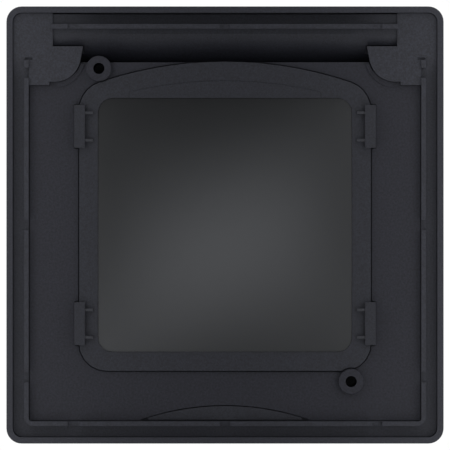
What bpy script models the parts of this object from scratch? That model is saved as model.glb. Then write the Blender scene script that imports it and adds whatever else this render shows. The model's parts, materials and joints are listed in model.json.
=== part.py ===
"""A square wall-mounted mesh wifi node, 120 mm on a side, as separate pieces.

Frame: the wall is the XZ plane at y = 0, +Y points into the room, +Z is up and the
origin is the centre of the mounting plane. Everything is in metres.
"""

import math

import bmesh
import bpy

MM = 0.001

# Overall sizes
BODY_HALF = 60.0 * MM          # half of the square outline
BODY_DEPTH = 34.0 * MM         # wall plane to the front face
BODY_CORNER = 4.2 * MM         # corner radius of the outline
COVER_WALL = 1.73 * MM         # side wall at the rim
COVER_FRONT_WALL = 2.0 * MM
COVER_FRONT_ROUND = 3.6 * MM   # rounding between the side walls and the front
COVER_CROWN = 0.6 * MM         # how far the front face bulges
COVER_STEP_DEPTH = 6.8 * MM    # where the side wall thickens to seat the frame
COVER_STEP = 1.27 * MM
RIM_CHAMFER = 0.35 * MM

# Clearances
FIT = 0.3 * MM                 # gap between two pieces that meet
PART_LINE = 0.27 * MM          # gap between the cover and the rear frame

# Rear frame
FLOOR_Y = 3.0 * MM             # channel floor behind the wall plane
FLOOR_THICK = 1.6 * MM
RIB_Y = 0.2 * MM               # top of the tongue ribs
CHANNEL = 2.8 * MM             # width of the channel between the cover and the ribs
RIB_THICK = 1.3 * MM
RIB_CORNER = 2.6 * MM
LEDGE_WIDTH = 2.4 * MM
LEDGE_THICK = 1.5 * MM
SKIRT_THICK = 1.4 * MM
NOTCH_WIDTH = 2.75 * MM
NOTCH_FROM_END = 13.4 * MM     # outer notches, from the ribs' outer corners
NOTCH_DEPTH = 2.0 * MM
BRIDGE_NOTCH_DEPTH = 0.9 * MM    # in the top rib, which bridges the cable bay
BLOCK_Y = 1.2 * MM             # face of the two top corner blocks
BLOCK_SLOT = 0.65 * MM         # gap between a side rib's end and its block
BLOCK_RAMP = 5.3 * MM          # slope from a block down to its side channel
BLOCK_CHANNEL_LENGTH = 12.0 * MM   # block lengths, all from the frame's outer edge
BLOCK_LENGTH = 19.6 * MM
BLOCK_SHOULDER = 9.8 * MM
BLOCK_ROUND_IN_X = 11.3 * MM   # centre of its rounded corner
BLOCK_ROUND_IN_Z = 11.6 * MM
BLOCK_ROUND = 7.06 * MM

# Cable bay
BLOCK_TOP_WIDTH = 10.7 * MM    # leaves the bay's wide upper part
BLOCK_NECK_WIDTH = 19.0 * MM   # leaves its narrow lower part
BLOCK_TOP_LENGTH = 8.9 * MM
SCOOP_CREST = 5.5 * MM         # crest and end, from the frame's outer edge
SCOOP_END = 14.3 * MM
SCOOP_CREST_Y = 3.35 * MM
SCOOP_OUTER_Y = 4.0 * MM       # at the top end, behind the rim
SCOOP_END_Y = 12.5 * MM
SCOOP_THICK = 1.4 * MM
SCOOP_BEND = 1.2               # 2 is an ellipse, less falls away sooner
SCOOP_SIDE_Y = 1.8 * MM        # the scoop's two ends sweep up to here
SCOOP_SWEEP = 20.0 * MM        # length of that sweep
SCOOP_STATIONS = 8             # cross-sections in each sweep
SCOOP_STEPS = 9                # points down its curve
BRIDGE_Y = 1.5 * MM            # underside of the top rib over the sweeps
BRIDGE_RUN = 12.0 * MM

# Rear plate
PLATE_Y = 2.8 * MM
PLATE_THICK = 1.7 * MM
PLATE_DROP = 13.3 * MM         # its upper edge, from the frame's outer edge
PLATE_LIP = 0.9 * MM
PLATE_LIP_RISE = 0.5 * MM
BACK_LIP_OUT = 1.6 * MM        # lip behind the window frame's edge: past the gap
BACK_LIP_IN = 1.2 * MM         # and under the frame
BACK_LIP_THICK = 0.7 * MM
FINGER_ARC_R = 70.6 * MM       # arc cut in the plate's lower edge
FINGER_ARC_RISE = 4.05 * MM
FINGER_HALF = 23.2 * MM

# Window frame around the heat plate
RING_Y = 2.0 * MM
RING_THICK = 2.5 * MM
RING_WIDTH = 5.2 * MM
RING_LOW_CORNER = 7.6 * MM
RING_TOP_CORNER = 8.2 * MM
ARCH_R = 107.6 * MM
ARCH_RISE = 10.0 * MM          # above the window's upper edge
WINDOW_HALF = 34.9 * MM
WINDOW_CORNER = 4.0 * MM
BROW_INSET = 8.7 * MM          # slightly raised field above the window
BROW_RISE_Z = 4.7 * MM
BROW_R = 113.4 * MM
BROW_RISE = 0.25 * MM
TOWER_LAP = 1.65 * MM          # how far a tower stands in over the frame
TOWER_WIDTH = 3.0 * MM
TOWER_LOW = 21.15 * MM
TOWER_LENGTH = 11.85 * MM
TOWER_Y = 0.35 * MM
TOWER_DEPTH = 8.2 * MM         # how far the towers reach behind the frame's face
GUSSET_THICK = 0.8 * MM
GUSSET_REACH = 2.25 * MM
GUSSET_DROP = 0.4 * MM         # below its tower's face
GUSSET_FROM_END = 2.15 * MM

# Screw posts, one at each end of a diagonal
POST_IN_X = 5.45 * MM          # post centres, from the window frame's edge
POST_OUT_Z = 2.9 * MM
POST_R = 3.5 * MM
POST_BORE_R = 1.54 * MM
POST_Y = 1.0 * MM

# Heat plate and what it cools
HEAT_DOME = 1.3 * MM
HEAT_CREST_Y = 1.05 * MM
HEAT_FLANGE = 2.6 * MM
HEAT_FLANGE_THICK = 1.2 * MM
GASKET_THICK = 0.5 * MM
SINK_HALF = 30.0 * MM
SINK_LOW_Z = -32.0 * MM
SINK_TOP_Z = 12.0 * MM
SINK_BASE = 2.0 * MM
SINK_FINS = 9
SINK_FIN = 1.6 * MM
PAD_THICK = 0.8 * MM

# Main board and tray
BOARD_Y = 20.0 * MM
BOARD_THICK = 1.2 * MM
BOARD_SIDE_GAP = 4.1 * MM      # to the tray's side walls
BOARD_LOW_GAP = 7.0 * MM       # to the cover's lower wall, for the button's stem
BOARD_PAST_JACK = 1.2 * MM
BOARD_SCREW_IN = 4.0 * MM
TRAY_GAP = 2.2 * MM            # board to tray
TRAY_THICK = 1.6 * MM
TRAY_SIDE_GAP = 0.8 * MM       # to the cover
TRAY_RIM = 16.2 * MM           # width of the tray around its window
TRAY_SCREW_IN = 6.5 * MM       # from the cover's inner wall
TRAY_WALL_IN = 0.9 * MM        # from the tray's edge
TRAY_WALL_THICK = 1.2 * MM
TRAY_WALL_REAR_Y = 8.0 * MM
STAND_R = 3.0 * MM
SCREW_R = 0.9 * MM
SCREW_HEAD_R = 1.9 * MM
SCREW_HEAD = 1.2 * MM

# Sockets
JACK_WIDTH = 15.9 * MM
JACK_HEIGHT = 12.4 * MM
JACK_LENGTH = 20.5 * MM
PLUG_ROOM = 8.9 * MM           # jack face to the plate's upper edge
JACK_MOUTH_WIDTH = 11.9 * MM
JACK_MOUTH_HEIGHT = 8.4 * MM
JACK_MOUTH_DEPTH = 15.0 * MM
JACK_LATCH_HALF = 2.9 * MM     # the narrower slot for a plug's latch
JACK_LATCH_DEPTH = 1.6 * MM
JACK_COUNT = 2
JACK_PITCH = 18.0 * MM
JACK_FROM_POST = 16.65 * MM    # first jack's centre, from the upper screw post
CONTACT_COUNT = 8
CONTACT_PITCH = 1.02 * MM
CONTACT_WIDTH = 0.5 * MM
CONTACT_PROUD = 0.7 * MM       # how far a spring stands out of its strip
CONTACT_STRIP_HALF = 4.6 * MM
CONTACT_STRIP_THICK = 0.8 * MM
CONTACT_LENGTH = 9.0 * MM
POWER_FROM_JACK = 20.0 * MM    # from the last jack's centre
POWER_WIDTH = 9.0 * MM
POWER_HEIGHT = 3.4 * MM
POWER_LENGTH = 7.6 * MM
POWER_WALL = 0.4 * MM
POWER_BACK_WALL = 1.2 * MM
POWER_TONGUE_HALF = 3.3 * MM
POWER_TONGUE_THICK = 0.7 * MM
POWER_TONGUE_BACK = 1.5 * MM   # tip of the tongue, from the mouth

# Parts on the board's wall side
CHIP_DRAFT = 0.15 * MM
PROCESSOR_HALF = 8.5 * MM
PROCESSOR_HEIGHT = 1.4 * MM
PROCESSOR_Z = -10.0 * MM       # centre of the processor and of what lines up with it
PAD_HALF = 9.0 * MM
MEMORY_X = 18.0 * MM
MEMORY_WIDTH = 9.0 * MM
MEMORY_LENGTH = 13.0 * MM
FLASH_DROP = 17.0 * MM         # below the processor
FLASH_WIDTH = 8.0 * MM
FLASH_LENGTH = 6.0 * MM
CHIP_HEIGHT = 1.0 * MM
CAN_X = 38.5 * MM              # radio cans, outside the heat sink
CAN_RISE = 2.0 * MM            # above the processor
CAN_WIDTH = 13.0 * MM
CAN_LENGTH = 22.0 * MM
CAN_HEIGHT = 3.2 * MM
CAN_WALL = 0.3 * MM
CAPACITOR_X = 36.0 * MM
CAPACITOR_R = 4.0 * MM
CAPACITOR_HEIGHT = 10.0 * MM
CAPACITOR_NECK = 0.5 * MM      # half height of the pinch above its foot
CAPACITOR_DROP = 7.8 * MM      # first one, below the jacks' face
CAPACITOR_PITCH = 10.0 * MM
INDUCTOR_X = 28.0 * MM
INDUCTOR_SIZE = 6.0 * MM
INDUCTOR_HEIGHT = 3.0 * MM
INDUCTOR_DROP = 3.0 * MM       # below its capacitor

# Parts on the board's room side
TRANSFORMER_WIDTH = 13.0 * MM
TRANSFORMER_LENGTH = 16.0 * MM
TRANSFORMER_HEIGHT = 4.0 * MM
TRANSFORMER_DROP = 13.8 * MM   # below the jacks' face
LIGHT_SIZE = 3.0 * MM
LIGHT_HEIGHT = 1.0 * MM

# Push buttons
BUTTON_LENGTH = 14.0 * MM
BUTTON_WIDTH = 5.0 * MM
BUTTON_SINK = 0.1 * MM         # how far the cap sits below the cover's skin
BUTTON_TRAVEL = 0.6 * MM
BUTTON_FLANGE = 1.6 * MM
BUTTON_FLANGE_THICK = 1.0 * MM
BUTTON_CHAMFER = 0.3 * MM
STEM_HALF = 1.5 * MM
GUIDE_HALF = 7.4 * MM          # half width of the yoke beside the stem
GUIDE_THICK = 1.4 * MM
RESET_X = 24.0 * MM
RESET_HOLE_R = 0.9 * MM
RESET_TRAVEL = 0.3 * MM
SWITCH_HALF = 3.0 * MM
SWITCH_HEIGHT = 3.8 * MM
SWITCH_DEPTH = 4.0 * MM
PLUNGER_HALF = 1.3 * MM
PLUNGER_HEIGHT = 1.4 * MM
PLUNGER_PROUD = 1.4 * MM
PLUNGER_LENGTH = 2.6 * MM

# Vents in the top and bottom walls
VENT_WIDTH = 1.8 * MM
VENT_LENGTH = 8.0 * MM
VENT_PITCH = 4.5 * MM
VENT_Y = 25.0 * MM
VENT_COUNT = 19

# Aerials
AERIAL_THICK = 0.8 * MM
AERIAL_LENGTH = 32.0 * MM
AERIAL_HEIGHT = 13.0 * MM
AERIAL_CENTRE_Z = 21.0 * MM
AERIAL_SLOT = 1.6 * MM
AERIAL_SLOT_IN = 3.0 * MM      # slot, from the blade's rear edge
LEAD_R = 0.55 * MM

# Light pipe
PIPE_R = 1.5 * MM
PIPE_Z = -36.0 * MM
PIPE_FOOT = 2.0 * MM
PIPE_SINK = 0.15 * MM          # how far its tip sits below the front

# Sizes that follow from the ones above
COVER_INNER = BODY_HALF - COVER_WALL
COVER_DEEP = COVER_INNER - COVER_STEP
FRAME_OUTER = COVER_INNER - PART_LINE
RIB_OUTER = FRAME_OUTER - CHANNEL
RIB_INNER = RIB_OUTER - RIB_THICK
LEDGE_INNER = RIB_INNER - LEDGE_WIDTH
NOTCH_PITCH = RIB_OUTER - NOTCH_FROM_END
BLOCK_EDGE = FRAME_OUTER - BLOCK_CHANNEL_LENGTH
BLOCK_RIB_END = BLOCK_EDGE - BLOCK_SLOT
BLOCK_FOOT = FRAME_OUTER - BLOCK_LENGTH
BLOCK_SHOULDER_X = FRAME_OUTER - BLOCK_SHOULDER
BLOCK_ROUND_X = FRAME_OUTER - BLOCK_ROUND_IN_X
BLOCK_ROUND_Z = FRAME_OUTER - BLOCK_ROUND_IN_Z
BAY_HALF = FRAME_OUTER - BLOCK_TOP_WIDTH
BAY_NECK_HALF = FRAME_OUTER - BLOCK_NECK_WIDTH
BAY_NECK_Z = FRAME_OUTER - BLOCK_TOP_LENGTH
SCOOP_CREST_Z = FRAME_OUTER - SCOOP_CREST
SCOOP_END_Z = FRAME_OUTER - SCOOP_END
PLATE_TOP_Z = FRAME_OUTER - PLATE_DROP
LEDGE_Y = PLATE_Y + PLATE_THICK + FIT
FRAME_BACK_Y = LEDGE_Y + LEDGE_THICK
PLATE_EDGE = RIB_INNER - FIT - 0.1 * MM
FINGER_ARC_TOP_Z = FINGER_ARC_RISE - PLATE_EDGE
RING_HALF = WINDOW_HALF + RING_WIDTH
ARCH_TOP_Z = WINDOW_HALF + ARCH_RISE
BROW_HALF = WINDOW_HALF - BROW_INSET
BROW_TOP_Z = WINDOW_HALF + BROW_RISE_Z
TOWER_INNER = RING_HALF - TOWER_LAP
POST_X = RING_HALF - POST_IN_X
POST_Z = RING_HALF + POST_OUT_Z
HEAT_HALF = WINDOW_HALF - FIT
HEAT_BACK_Y = RING_Y + RING_THICK + GASKET_THICK + 2 * FIT + HEAT_FLANGE_THICK
JACK_FACE_Z = PLATE_TOP_Z - PLUG_ROOM
JACK_FIRST_X = JACK_FROM_POST - POST_X
POWER_X = JACK_FIRST_X + JACK_PITCH * (JACK_COUNT - 1) + POWER_FROM_JACK
CAN_Z = PROCESSOR_Z + CAN_RISE
TRAY_HALF = COVER_DEEP - TRAY_SIDE_GAP
TRAY_WINDOW = TRAY_HALF - TRAY_RIM
TRAY_WALL_OUTER = TRAY_HALF - TRAY_WALL_IN
TRAY_SCREW = COVER_DEEP - TRAY_SCREW_IN
BOARD_HALF = TRAY_WALL_OUTER - TRAY_WALL_THICK - BOARD_SIDE_GAP
BOARD_LOW_Z = BOARD_LOW_GAP - COVER_DEEP
BOARD_TOP_Z = JACK_FACE_Z + BOARD_PAST_JACK
BOARD_SCREW_X = BOARD_HALF - BOARD_SCREW_IN
BOARD_SCREW_LOW_Z = BOARD_LOW_Z + BOARD_SCREW_IN
BOARD_SCREW_TOP_Z = BOARD_TOP_Z - BOARD_SCREW_IN
TRAY_Y = BOARD_Y + BOARD_THICK + TRAY_GAP
TRAY_BACK_Y = TRAY_Y + TRAY_THICK
FRONT_INNER_Y = BODY_DEPTH - COVER_FRONT_WALL
CHIP_Y = BOARD_Y - FIT
BUTTON_Y = CHIP_Y - SWITCH_HEIGHT / 2
ARC_STEPS = 5
ROUND_STEPS = 24


# ---- shapes ----

def arc(cx, cy, radius, start, end, steps):
    """Points along an arc, angles in degrees."""
    points = []
    for i in range(steps + 1):
        a = math.radians(start + (end - start) * i / steps)
        points.append((cx + radius * math.cos(a), cy + radius * math.sin(a)))
    return points


def circle(cx, cy, radius, steps=ROUND_STEPS):
    """A closed circle, without repeating its first point."""
    return arc(cx, cy, radius, 0, 360, steps)[:-1]


def rounded_box(left, right, low, high, radius, steps=ARC_STEPS):
    """A rectangle with four equal rounded corners."""
    corners = (
        (right - radius, high - radius, 0),
        (left + radius, high - radius, 90),
        (left + radius, low + radius, 180),
        (right - radius, low + radius, 270),
    )
    points = []
    for cx, cy, start in corners:
        points += arc(cx, cy, radius, start, start + 90, steps)
    return points


def rectangle(left, right, low, high):
    return [(left, low), (right, low), (right, high), (left, high)]


def to_object(name, bm, material):
    """Turns a bmesh into a named object with its faces pointing out."""
    bmesh.ops.recalc_face_normals(bm, faces=bm.faces)
    mesh = bpy.data.meshes.new(name)
    bm.to_mesh(mesh)
    bm.free()
    mesh.materials.append(material)
    mesh.shade_smooth()
    mesh.set_sharp_from_angle(angle=math.radians(32))
    obj = bpy.data.objects.new(name, mesh)
    bpy.context.scene.collection.objects.link(obj)
    return obj


def place(axis, u, v, along):
    """A point of an outline (u, v) at a distance along the extrusion axis."""
    if axis == "X":
        return (along, u, v)
    if axis == "Y":
        return (u, along, v)
    return (u, v, along)


def extrude(name, outline, axis, start, end, material):
    """A prism: an outline in the other two axes, run from start to end along one."""
    bm = bmesh.new()
    face = bm.faces.new([bm.verts.new(place(axis, u, v, start)) for u, v in outline])
    grown = bmesh.ops.extrude_face_region(bm, geom=[face])["geom"]
    moved = [g for g in grown if isinstance(g, bmesh.types.BMVert)]
    bmesh.ops.translate(bm, vec=place(axis, 0, 0, end - start), verts=moved)
    return to_object(name, bm, material)


def block(name, low, high, material):
    """A plain box between two corners."""
    outline = rectangle(low[0], high[0], low[2], high[2])
    return extrude(name, outline, "Y", low[1], high[1], material)


def loft(name, rings, closed, material):
    """Bridges rings of 3D points; the ends are capped unless the rings close up."""
    bm = bmesh.new()
    loops = [[bm.verts.new(p) for p in ring] for ring in rings]
    count = len(loops[0])
    pairs = list(zip(loops, loops[1:]))
    if closed:
        pairs.append((loops[-1], loops[0]))
    for a, b in pairs:
        for i in range(count):
            j = (i + 1) % count
            bm.faces.new((a[i], a[j], b[j], b[i]))
    if not closed:
        bm.faces.new(loops[0])
        bm.faces.new(loops[-1])
    return to_object(name, bm, material)


def square_sweep(name, section, closed, material, steps=ARC_STEPS):
    """A section of (half size, corner radius, y) carried round the square."""
    rings = []
    for half, radius, y in section:
        outline = rounded_box(-half, half, -half, half, radius, steps)
        rings.append([(x, y, z) for x, z in outline])
    return loft(name, rings, closed, material)


def turned(name, section, axis, cu, cv, closed, material, steps=ROUND_STEPS):
    """A section of (radius, distance along the axis) turned about that axis."""
    rings = []
    for radius, along in section:
        rings.append([place(axis, u, v, along) for u, v in circle(cu, cv, radius, steps)])
    return loft(name, rings, closed, material)


def combine(target, tool, operation):
    """Adds a Boolean and turns its tool into a hidden guide."""
    tool.hide_render = True
    tool.display_type = "WIRE"
    modifier = target.modifiers.new(tool.name, "BOOLEAN")
    modifier.operation = operation
    modifier.solver = "EXACT"
    modifier.object = tool


def cut(target, tool):
    combine(target, tool, "DIFFERENCE")


def fuse(target, tool):
    combine(target, tool, "UNION")


def mirrored(outline):
    """An outline flipped left to right, kept in the same turning sense."""
    return [(-x, z) for x, z in reversed(outline)]


def finish(name, colour, roughness, metallic=0.0):
    """A plain Principled material."""
    material = bpy.data.materials.new(name)
    material.use_nodes = True
    shader = material.node_tree.nodes["Principled BSDF"]
    shader.inputs["Base Color"].default_value = (*colour, 1.0)
    shader.inputs["Roughness"].default_value = roughness
    shader.inputs["Metallic"].default_value = metallic
    return material


# ---- outlines shared by neighbours ----

def ring_outline(gap):
    """The window frame's outer edge, grown by a gap: square below, a low arch above."""
    half = RING_HALF + gap
    low = RING_LOW_CORNER + gap
    top = RING_TOP_CORNER + gap
    arch_z = ARCH_TOP_Z - ARCH_R
    corner_x = RING_HALF - RING_TOP_CORNER
    corner_z = arch_z + math.sqrt((ARCH_R - RING_TOP_CORNER) ** 2 - corner_x ** 2)
    lean = math.degrees(math.atan2(corner_z - arch_z, corner_x))
    points = arc(corner_x, corner_z, top, 0, lean, ARC_STEPS)
    points += arc(0, arch_z, ARCH_R + gap, lean, 180 - lean, 14)[1:-1]
    points += arc(-corner_x, corner_z, top, 180 - lean, 180, ARC_STEPS)
    points += arc(-half + low, -half + low, low, 180, 270, ARC_STEPS)
    points += arc(half - low, -half + low, low, 270, 360, ARC_STEPS)
    return points


def block_edge(gap):
    """The side of the right corner block that faces the rear plate, grown by a gap."""
    radius = BLOCK_ROUND + gap
    neck = math.degrees(math.asin((PLATE_TOP_Z - BLOCK_ROUND_Z) / radius))
    points = [(BLOCK_SHOULDER_X - gap, BLOCK_FOOT - gap)]
    points.append((BLOCK_SHOULDER_X - gap, BLOCK_ROUND_Z - radius))
    points += arc(BLOCK_ROUND_X, BLOCK_ROUND_Z, radius, 270, 180 - neck, 8)
    return points


def finger_arc(gap):
    """The low arc near the bottom edge, from right to left, grown outwards by a gap."""
    radius = FINGER_ARC_R + gap
    centre_z = FINGER_ARC_TOP_Z - FINGER_ARC_R
    spread = math.degrees(math.asin(FINGER_HALF / FINGER_ARC_R))
    return arc(0, centre_z, radius, 90 - spread, 90 + spread, 12)


# ---- outer pieces ----

def cover_radius(half):
    """Corner radius that keeps a wall even as the outline steps inwards."""
    return max(BODY_CORNER - (BODY_HALF - half), 0.5 * MM)


def cover_section():
    """The cover's wall, from the inside of the front, round the rim, to the outside."""
    section = []
    inner_round = COVER_FRONT_ROUND - COVER_FRONT_WALL / 2
    crown_start = BODY_DEPTH - COVER_CROWN
    for i in range(4, -1, -1):
        a = math.radians(90 * i / 4)
        half = COVER_DEEP - inner_round * (1 - math.cos(a))
        section.append((half, cover_radius(half), FRONT_INNER_Y - inner_round * (1 - math.sin(a))))
    section.append((COVER_DEEP, cover_radius(COVER_DEEP), COVER_STEP_DEPTH))
    section.append((COVER_INNER, cover_radius(COVER_INNER), COVER_STEP_DEPTH))
    section.append((COVER_INNER, cover_radius(COVER_INNER), RIM_CHAMFER))
    section.append((COVER_INNER + RIM_CHAMFER, cover_radius(COVER_INNER + RIM_CHAMFER), 0))
    section.append((BODY_HALF - RIM_CHAMFER, cover_radius(BODY_HALF - RIM_CHAMFER), 0))
    section.append((BODY_HALF, BODY_CORNER, RIM_CHAMFER))
    for i in range(7):
        a = math.radians(90 * i / 6)
        half = BODY_HALF - COVER_FRONT_ROUND * (1 - math.cos(a))
        y = crown_start - COVER_FRONT_ROUND * (1 - math.sin(a))
        section.append((half, cover_radius(half), y))
    for share in (0.7, 0.4, 0.1):
        half = (BODY_HALF - COVER_FRONT_ROUND) * share
        section.append((half, half * 0.3, BODY_DEPTH - COVER_CROWN * share ** 2))
    return section


def make_front_cover(material):
    cover = square_sweep("front_cover", cover_section(), False, material)
    for i, (sx, sz) in enumerate(((1, 1), (-1, 1), (-1, -1), (1, -1))):
        x = sx * TRAY_SCREW
        z = sz * TRAY_SCREW
        section = [
            (SCREW_R + FIT, TRAY_BACK_Y + FIT),
            (STAND_R, TRAY_BACK_Y + FIT),
            (STAND_R, FRONT_INNER_Y + COVER_FRONT_WALL / 3),
            (SCREW_R + FIT, FRONT_INNER_Y + COVER_FRONT_WALL / 3),
        ]
        post = turned(f"cover_post_{i}", section, "Y", x, z, True, material, 12)
        fuse(cover, post)
        plug = [(SCREW_R + 2 * FIT, FRONT_INNER_Y - FIT), (SCREW_R + 2 * FIT, FRONT_INNER_Y + 2 * FIT)]
        fuse(cover, turned(f"cover_post_root_{i}", plug, "Y", x, z, False, material, 12))
    for side in (1, -1):
        for i in range(VENT_COUNT):
            x = (i - (VENT_COUNT - 1) / 2) * VENT_PITCH
            slot = rounded_box(
                x - VENT_WIDTH / 2, x + VENT_WIDTH / 2,
                VENT_Y - VENT_LENGTH / 2, VENT_Y + VENT_LENGTH / 2,
                VENT_WIDTH * 0.49, 2,
            )
            near = side * (COVER_DEEP - 1 * MM)
            far = side * (BODY_HALF + 1 * MM)
            cut(cover, extrude(f"vent_{side}_{i}", slot, "Z", near, far, material))
    button_hole = stadium(BUTTON_LENGTH + 2 * FIT, BUTTON_WIDTH + 2 * FIT, 0, BUTTON_Y)
    deep = -COVER_DEEP + 1 * MM
    shallow = -BODY_HALF - 1 * MM
    cut(cover, extrude("button_hole", button_hole, "Z", deep, shallow, material))
    pin = circle(RESET_X, BUTTON_Y, RESET_HOLE_R, 12)
    cut(cover, extrude("reset_hole", pin, "Z", deep, shallow, material))
    lens = circle(0, PIPE_Z, PIPE_R + FIT, 16)
    cut(cover, extrude("lens_hole", lens, "Y", FRONT_INNER_Y - MM, BODY_DEPTH + MM, material))
    return cover


def stadium(length, width, cx, cy):
    """A slot outline with half-round ends."""
    r = width / 2 * 0.999
    return rounded_box(cx - length / 2, cx + length / 2, cy - width / 2, cy + width / 2, r, 6)


def frame_section():
    """The rear frame's wall: channel floor, tongue rib, plate ledge and skirt."""
    outer = FRAME_OUTER
    outer_r = cover_radius(outer)
    skirt = outer - SKIRT_THICK
    skirt_y = COVER_STEP_DEPTH - FIT
    floor_back = FLOOR_Y + FLOOR_THICK
    sharp = 0.8 * MM
    return [
        (outer, outer_r, FLOOR_Y),
        (RIB_OUTER, RIB_CORNER, FLOOR_Y),
        (RIB_OUTER, RIB_CORNER, RIB_Y),
        (RIB_INNER, sharp, RIB_Y),
        (RIB_INNER, sharp, LEDGE_Y),
        (LEDGE_INNER, sharp, LEDGE_Y),
        (LEDGE_INNER, sharp, FRAME_BACK_Y),
        (RIB_OUTER, RIB_CORNER, FRAME_BACK_Y),
        (RIB_OUTER, RIB_CORNER, floor_back),
        (skirt, sharp, floor_back),
        (skirt, sharp, skirt_y),
        (outer, outer_r, skirt_y),
    ]


def corner_block_outline():
    """The right top corner block, seen from the wall."""
    neck_x = BAY_NECK_HALF
    top = FRAME_OUTER
    r = cover_radius(FRAME_OUTER)
    inside_rib = RIB_INNER + RIB_THICK / 2
    points = [(BAY_HALF, top)]
    points += arc(top - r, top - r, r, 90, 0, ARC_STEPS)
    points.append((top, BLOCK_EDGE))
    points.append((inside_rib, BLOCK_EDGE))
    points.append((inside_rib, BLOCK_FOOT))
    points.append((BLOCK_SHOULDER_X, BLOCK_FOOT))
    points += block_edge(0)[1:]
    points.append((neck_x, BAY_NECK_Z))
    points.append((BAY_HALF, BAY_NECK_Z))
    return points


def make_rear_frame(material):
    frame = square_sweep("rear_frame", frame_section(), True, material)
    far = BODY_HALF + MM
    bay = [
        (-BAY_HALF, RIB_INNER - 3 * MM - LEDGE_THICK),
        (BAY_HALF, RIB_INNER - 3 * MM - LEDGE_THICK),
        (BAY_HALF, far),
        (-BAY_HALF, far),
    ]
    cut(frame, extrude("bay_cut", bay, "Y", FLOOR_Y - 2 * FIT, COVER_STEP_DEPTH + MM, material))
    for side in (1, -1):
        tops = rectangle(BAY_HALF + FIT, far, BLOCK_EDGE, far)
        slot = rectangle(RIB_INNER - MM, RIB_OUTER + MM, BLOCK_RIB_END, BLOCK_EDGE)
        body = corner_block_outline()
        if side < 0:
            tops = mirrored(tops)
            slot = mirrored(slot)
            body = mirrored(body)
        cut(frame, extrude(f"rib_trim_{side}", tops, "Y", -MM, BLOCK_Y + FIT, material))
        fuse(frame, extrude(f"corner_block_{side}", body, "Y", BLOCK_Y, FRAME_BACK_Y - FIT, material))
        cut(frame, extrude(f"rib_slot_{side}", slot, "Y", -MM, BLOCK_Y + 2 * FIT, material))
        under = rectangle(BAY_HALF - BRIDGE_RUN, BAY_HALF, RIB_INNER - MM, far)
        under = under if side > 0 else mirrored(under)
        cut(frame, extrude(f"rib_under_{side}", under, "Y", BRIDGE_Y, FLOOR_Y, material))
        ramp = [
            (BLOCK_Y, BLOCK_EDGE),
            (FLOOR_Y, BLOCK_EDGE - BLOCK_RAMP),
            (FLOOR_Y + FIT, BLOCK_EDGE - BLOCK_RAMP),
            (FLOOR_Y + FIT, BLOCK_EDGE + FIT),
            (BLOCK_Y, BLOCK_EDGE + FIT),
        ]
        near, away = sorted((side * (RIB_OUTER - FIT), side * FRAME_OUTER))
        fuse(frame, extrude(f"channel_ramp_{side}", ramp, "X", near, away, material))
    half = NOTCH_WIDTH / 2
    reach = RIB_INNER - 0.05 * MM
    for centre in (-NOTCH_PITCH, 0, NOTCH_PITCH):
        for side in (1, -1):
            up = rectangle(centre - half, centre + half, reach, RIB_OUTER + 0.05 * MM)
            across = [(z, x) for x, z in up]
            if side < 0:
                up = [(x, -z) for x, z in up]
                across = [(-x, z) for x, z in across]
            floor = RIB_Y + NOTCH_DEPTH
            up_floor = RIB_Y + (BRIDGE_NOTCH_DEPTH if side > 0 else NOTCH_DEPTH)
            cut(frame, extrude(f"notch_z_{side}_{centre:.3f}", up, "Y", -MM, up_floor, material))
            cut(frame, extrude(f"notch_x_{side}_{centre:.3f}", across, "Y", -MM, floor, material))
    return frame


def scoop_outline(x):
    """The scoop's cross-section at x: shallow at its two ends, full between the sweeps."""
    run = SCOOP_CREST_Z - SCOOP_END_Z
    fall = SCOOP_END_Y - SCOOP_CREST_Y
    end_z = FRAME_OUTER - 0.1 * MM
    inward = min((BAY_HALF - FIT - abs(x)) / SCOOP_SWEEP, 1)
    share = inward ** 2 * (3 - 2 * inward)
    face = [(SCOOP_OUTER_Y, end_z, share)]
    for part in (0.6, 0.3):
        y = SCOOP_CREST_Y + (SCOOP_OUTER_Y - SCOOP_CREST_Y) * part ** 2
        face.append((y, SCOOP_CREST_Z + (end_z - SCOOP_CREST_Z) * part, share))
    back = [(SCOOP_OUTER_Y + SCOOP_THICK, end_z, share)]
    for i in range(SCOOP_STEPS + 1):
        t = math.sin(math.radians(90 * i / SCOOP_STEPS))
        drop = 1 - (1 - t ** SCOOP_BEND) ** (1 / SCOOP_BEND)
        depth = share + (1 - share) * t
        face.append((SCOOP_CREST_Y + fall * drop, SCOOP_CREST_Z - run * t, depth))
        inner_y = SCOOP_CREST_Y + (fall - SCOOP_THICK) * drop
        back.append((inner_y + SCOOP_THICK, SCOOP_CREST_Z + SCOOP_THICK / 2 - (run - SCOOP_THICK) * t, depth))
    ring = [(x, SCOOP_SIDE_Y + (y - SCOOP_SIDE_Y) * depth, z) for y, z, depth in face]
    for y, z, depth in back[::-1]:
        ring.append((x, SCOOP_SIDE_Y + (y - SCOOP_THICK - SCOOP_SIDE_Y) * depth + SCOOP_THICK, z))
    return ring


def make_cable_scoop(material):
    """The curved chute that turns a cable from the wall down behind the plate."""
    half = BAY_HALF - FIT
    places = [half - SCOOP_SWEEP * i / SCOOP_STATIONS for i in range(SCOOP_STATIONS + 1)]
    places += [-x for x in places[::-1]]
    scoop = loft("cable_scoop", [scoop_outline(x) for x in places], False, material)
    for side in (1, -1):
        trim = rectangle(BAY_NECK_HALF - FIT, BAY_HALF + MM, BLOCK_FOOT - MM, BAY_NECK_Z + FIT)
        trim = trim if side > 0 else mirrored(trim)
        cut(scoop, extrude(f"scoop_trim_{side}", trim, "Y", 0, FRAME_BACK_Y, material))
    post = circle(-POST_X, POST_Z, POST_R + FIT)
    cut(scoop, extrude("scoop_post_gap", post, "Y", 0, BODY_DEPTH, material))
    return scoop


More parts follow.
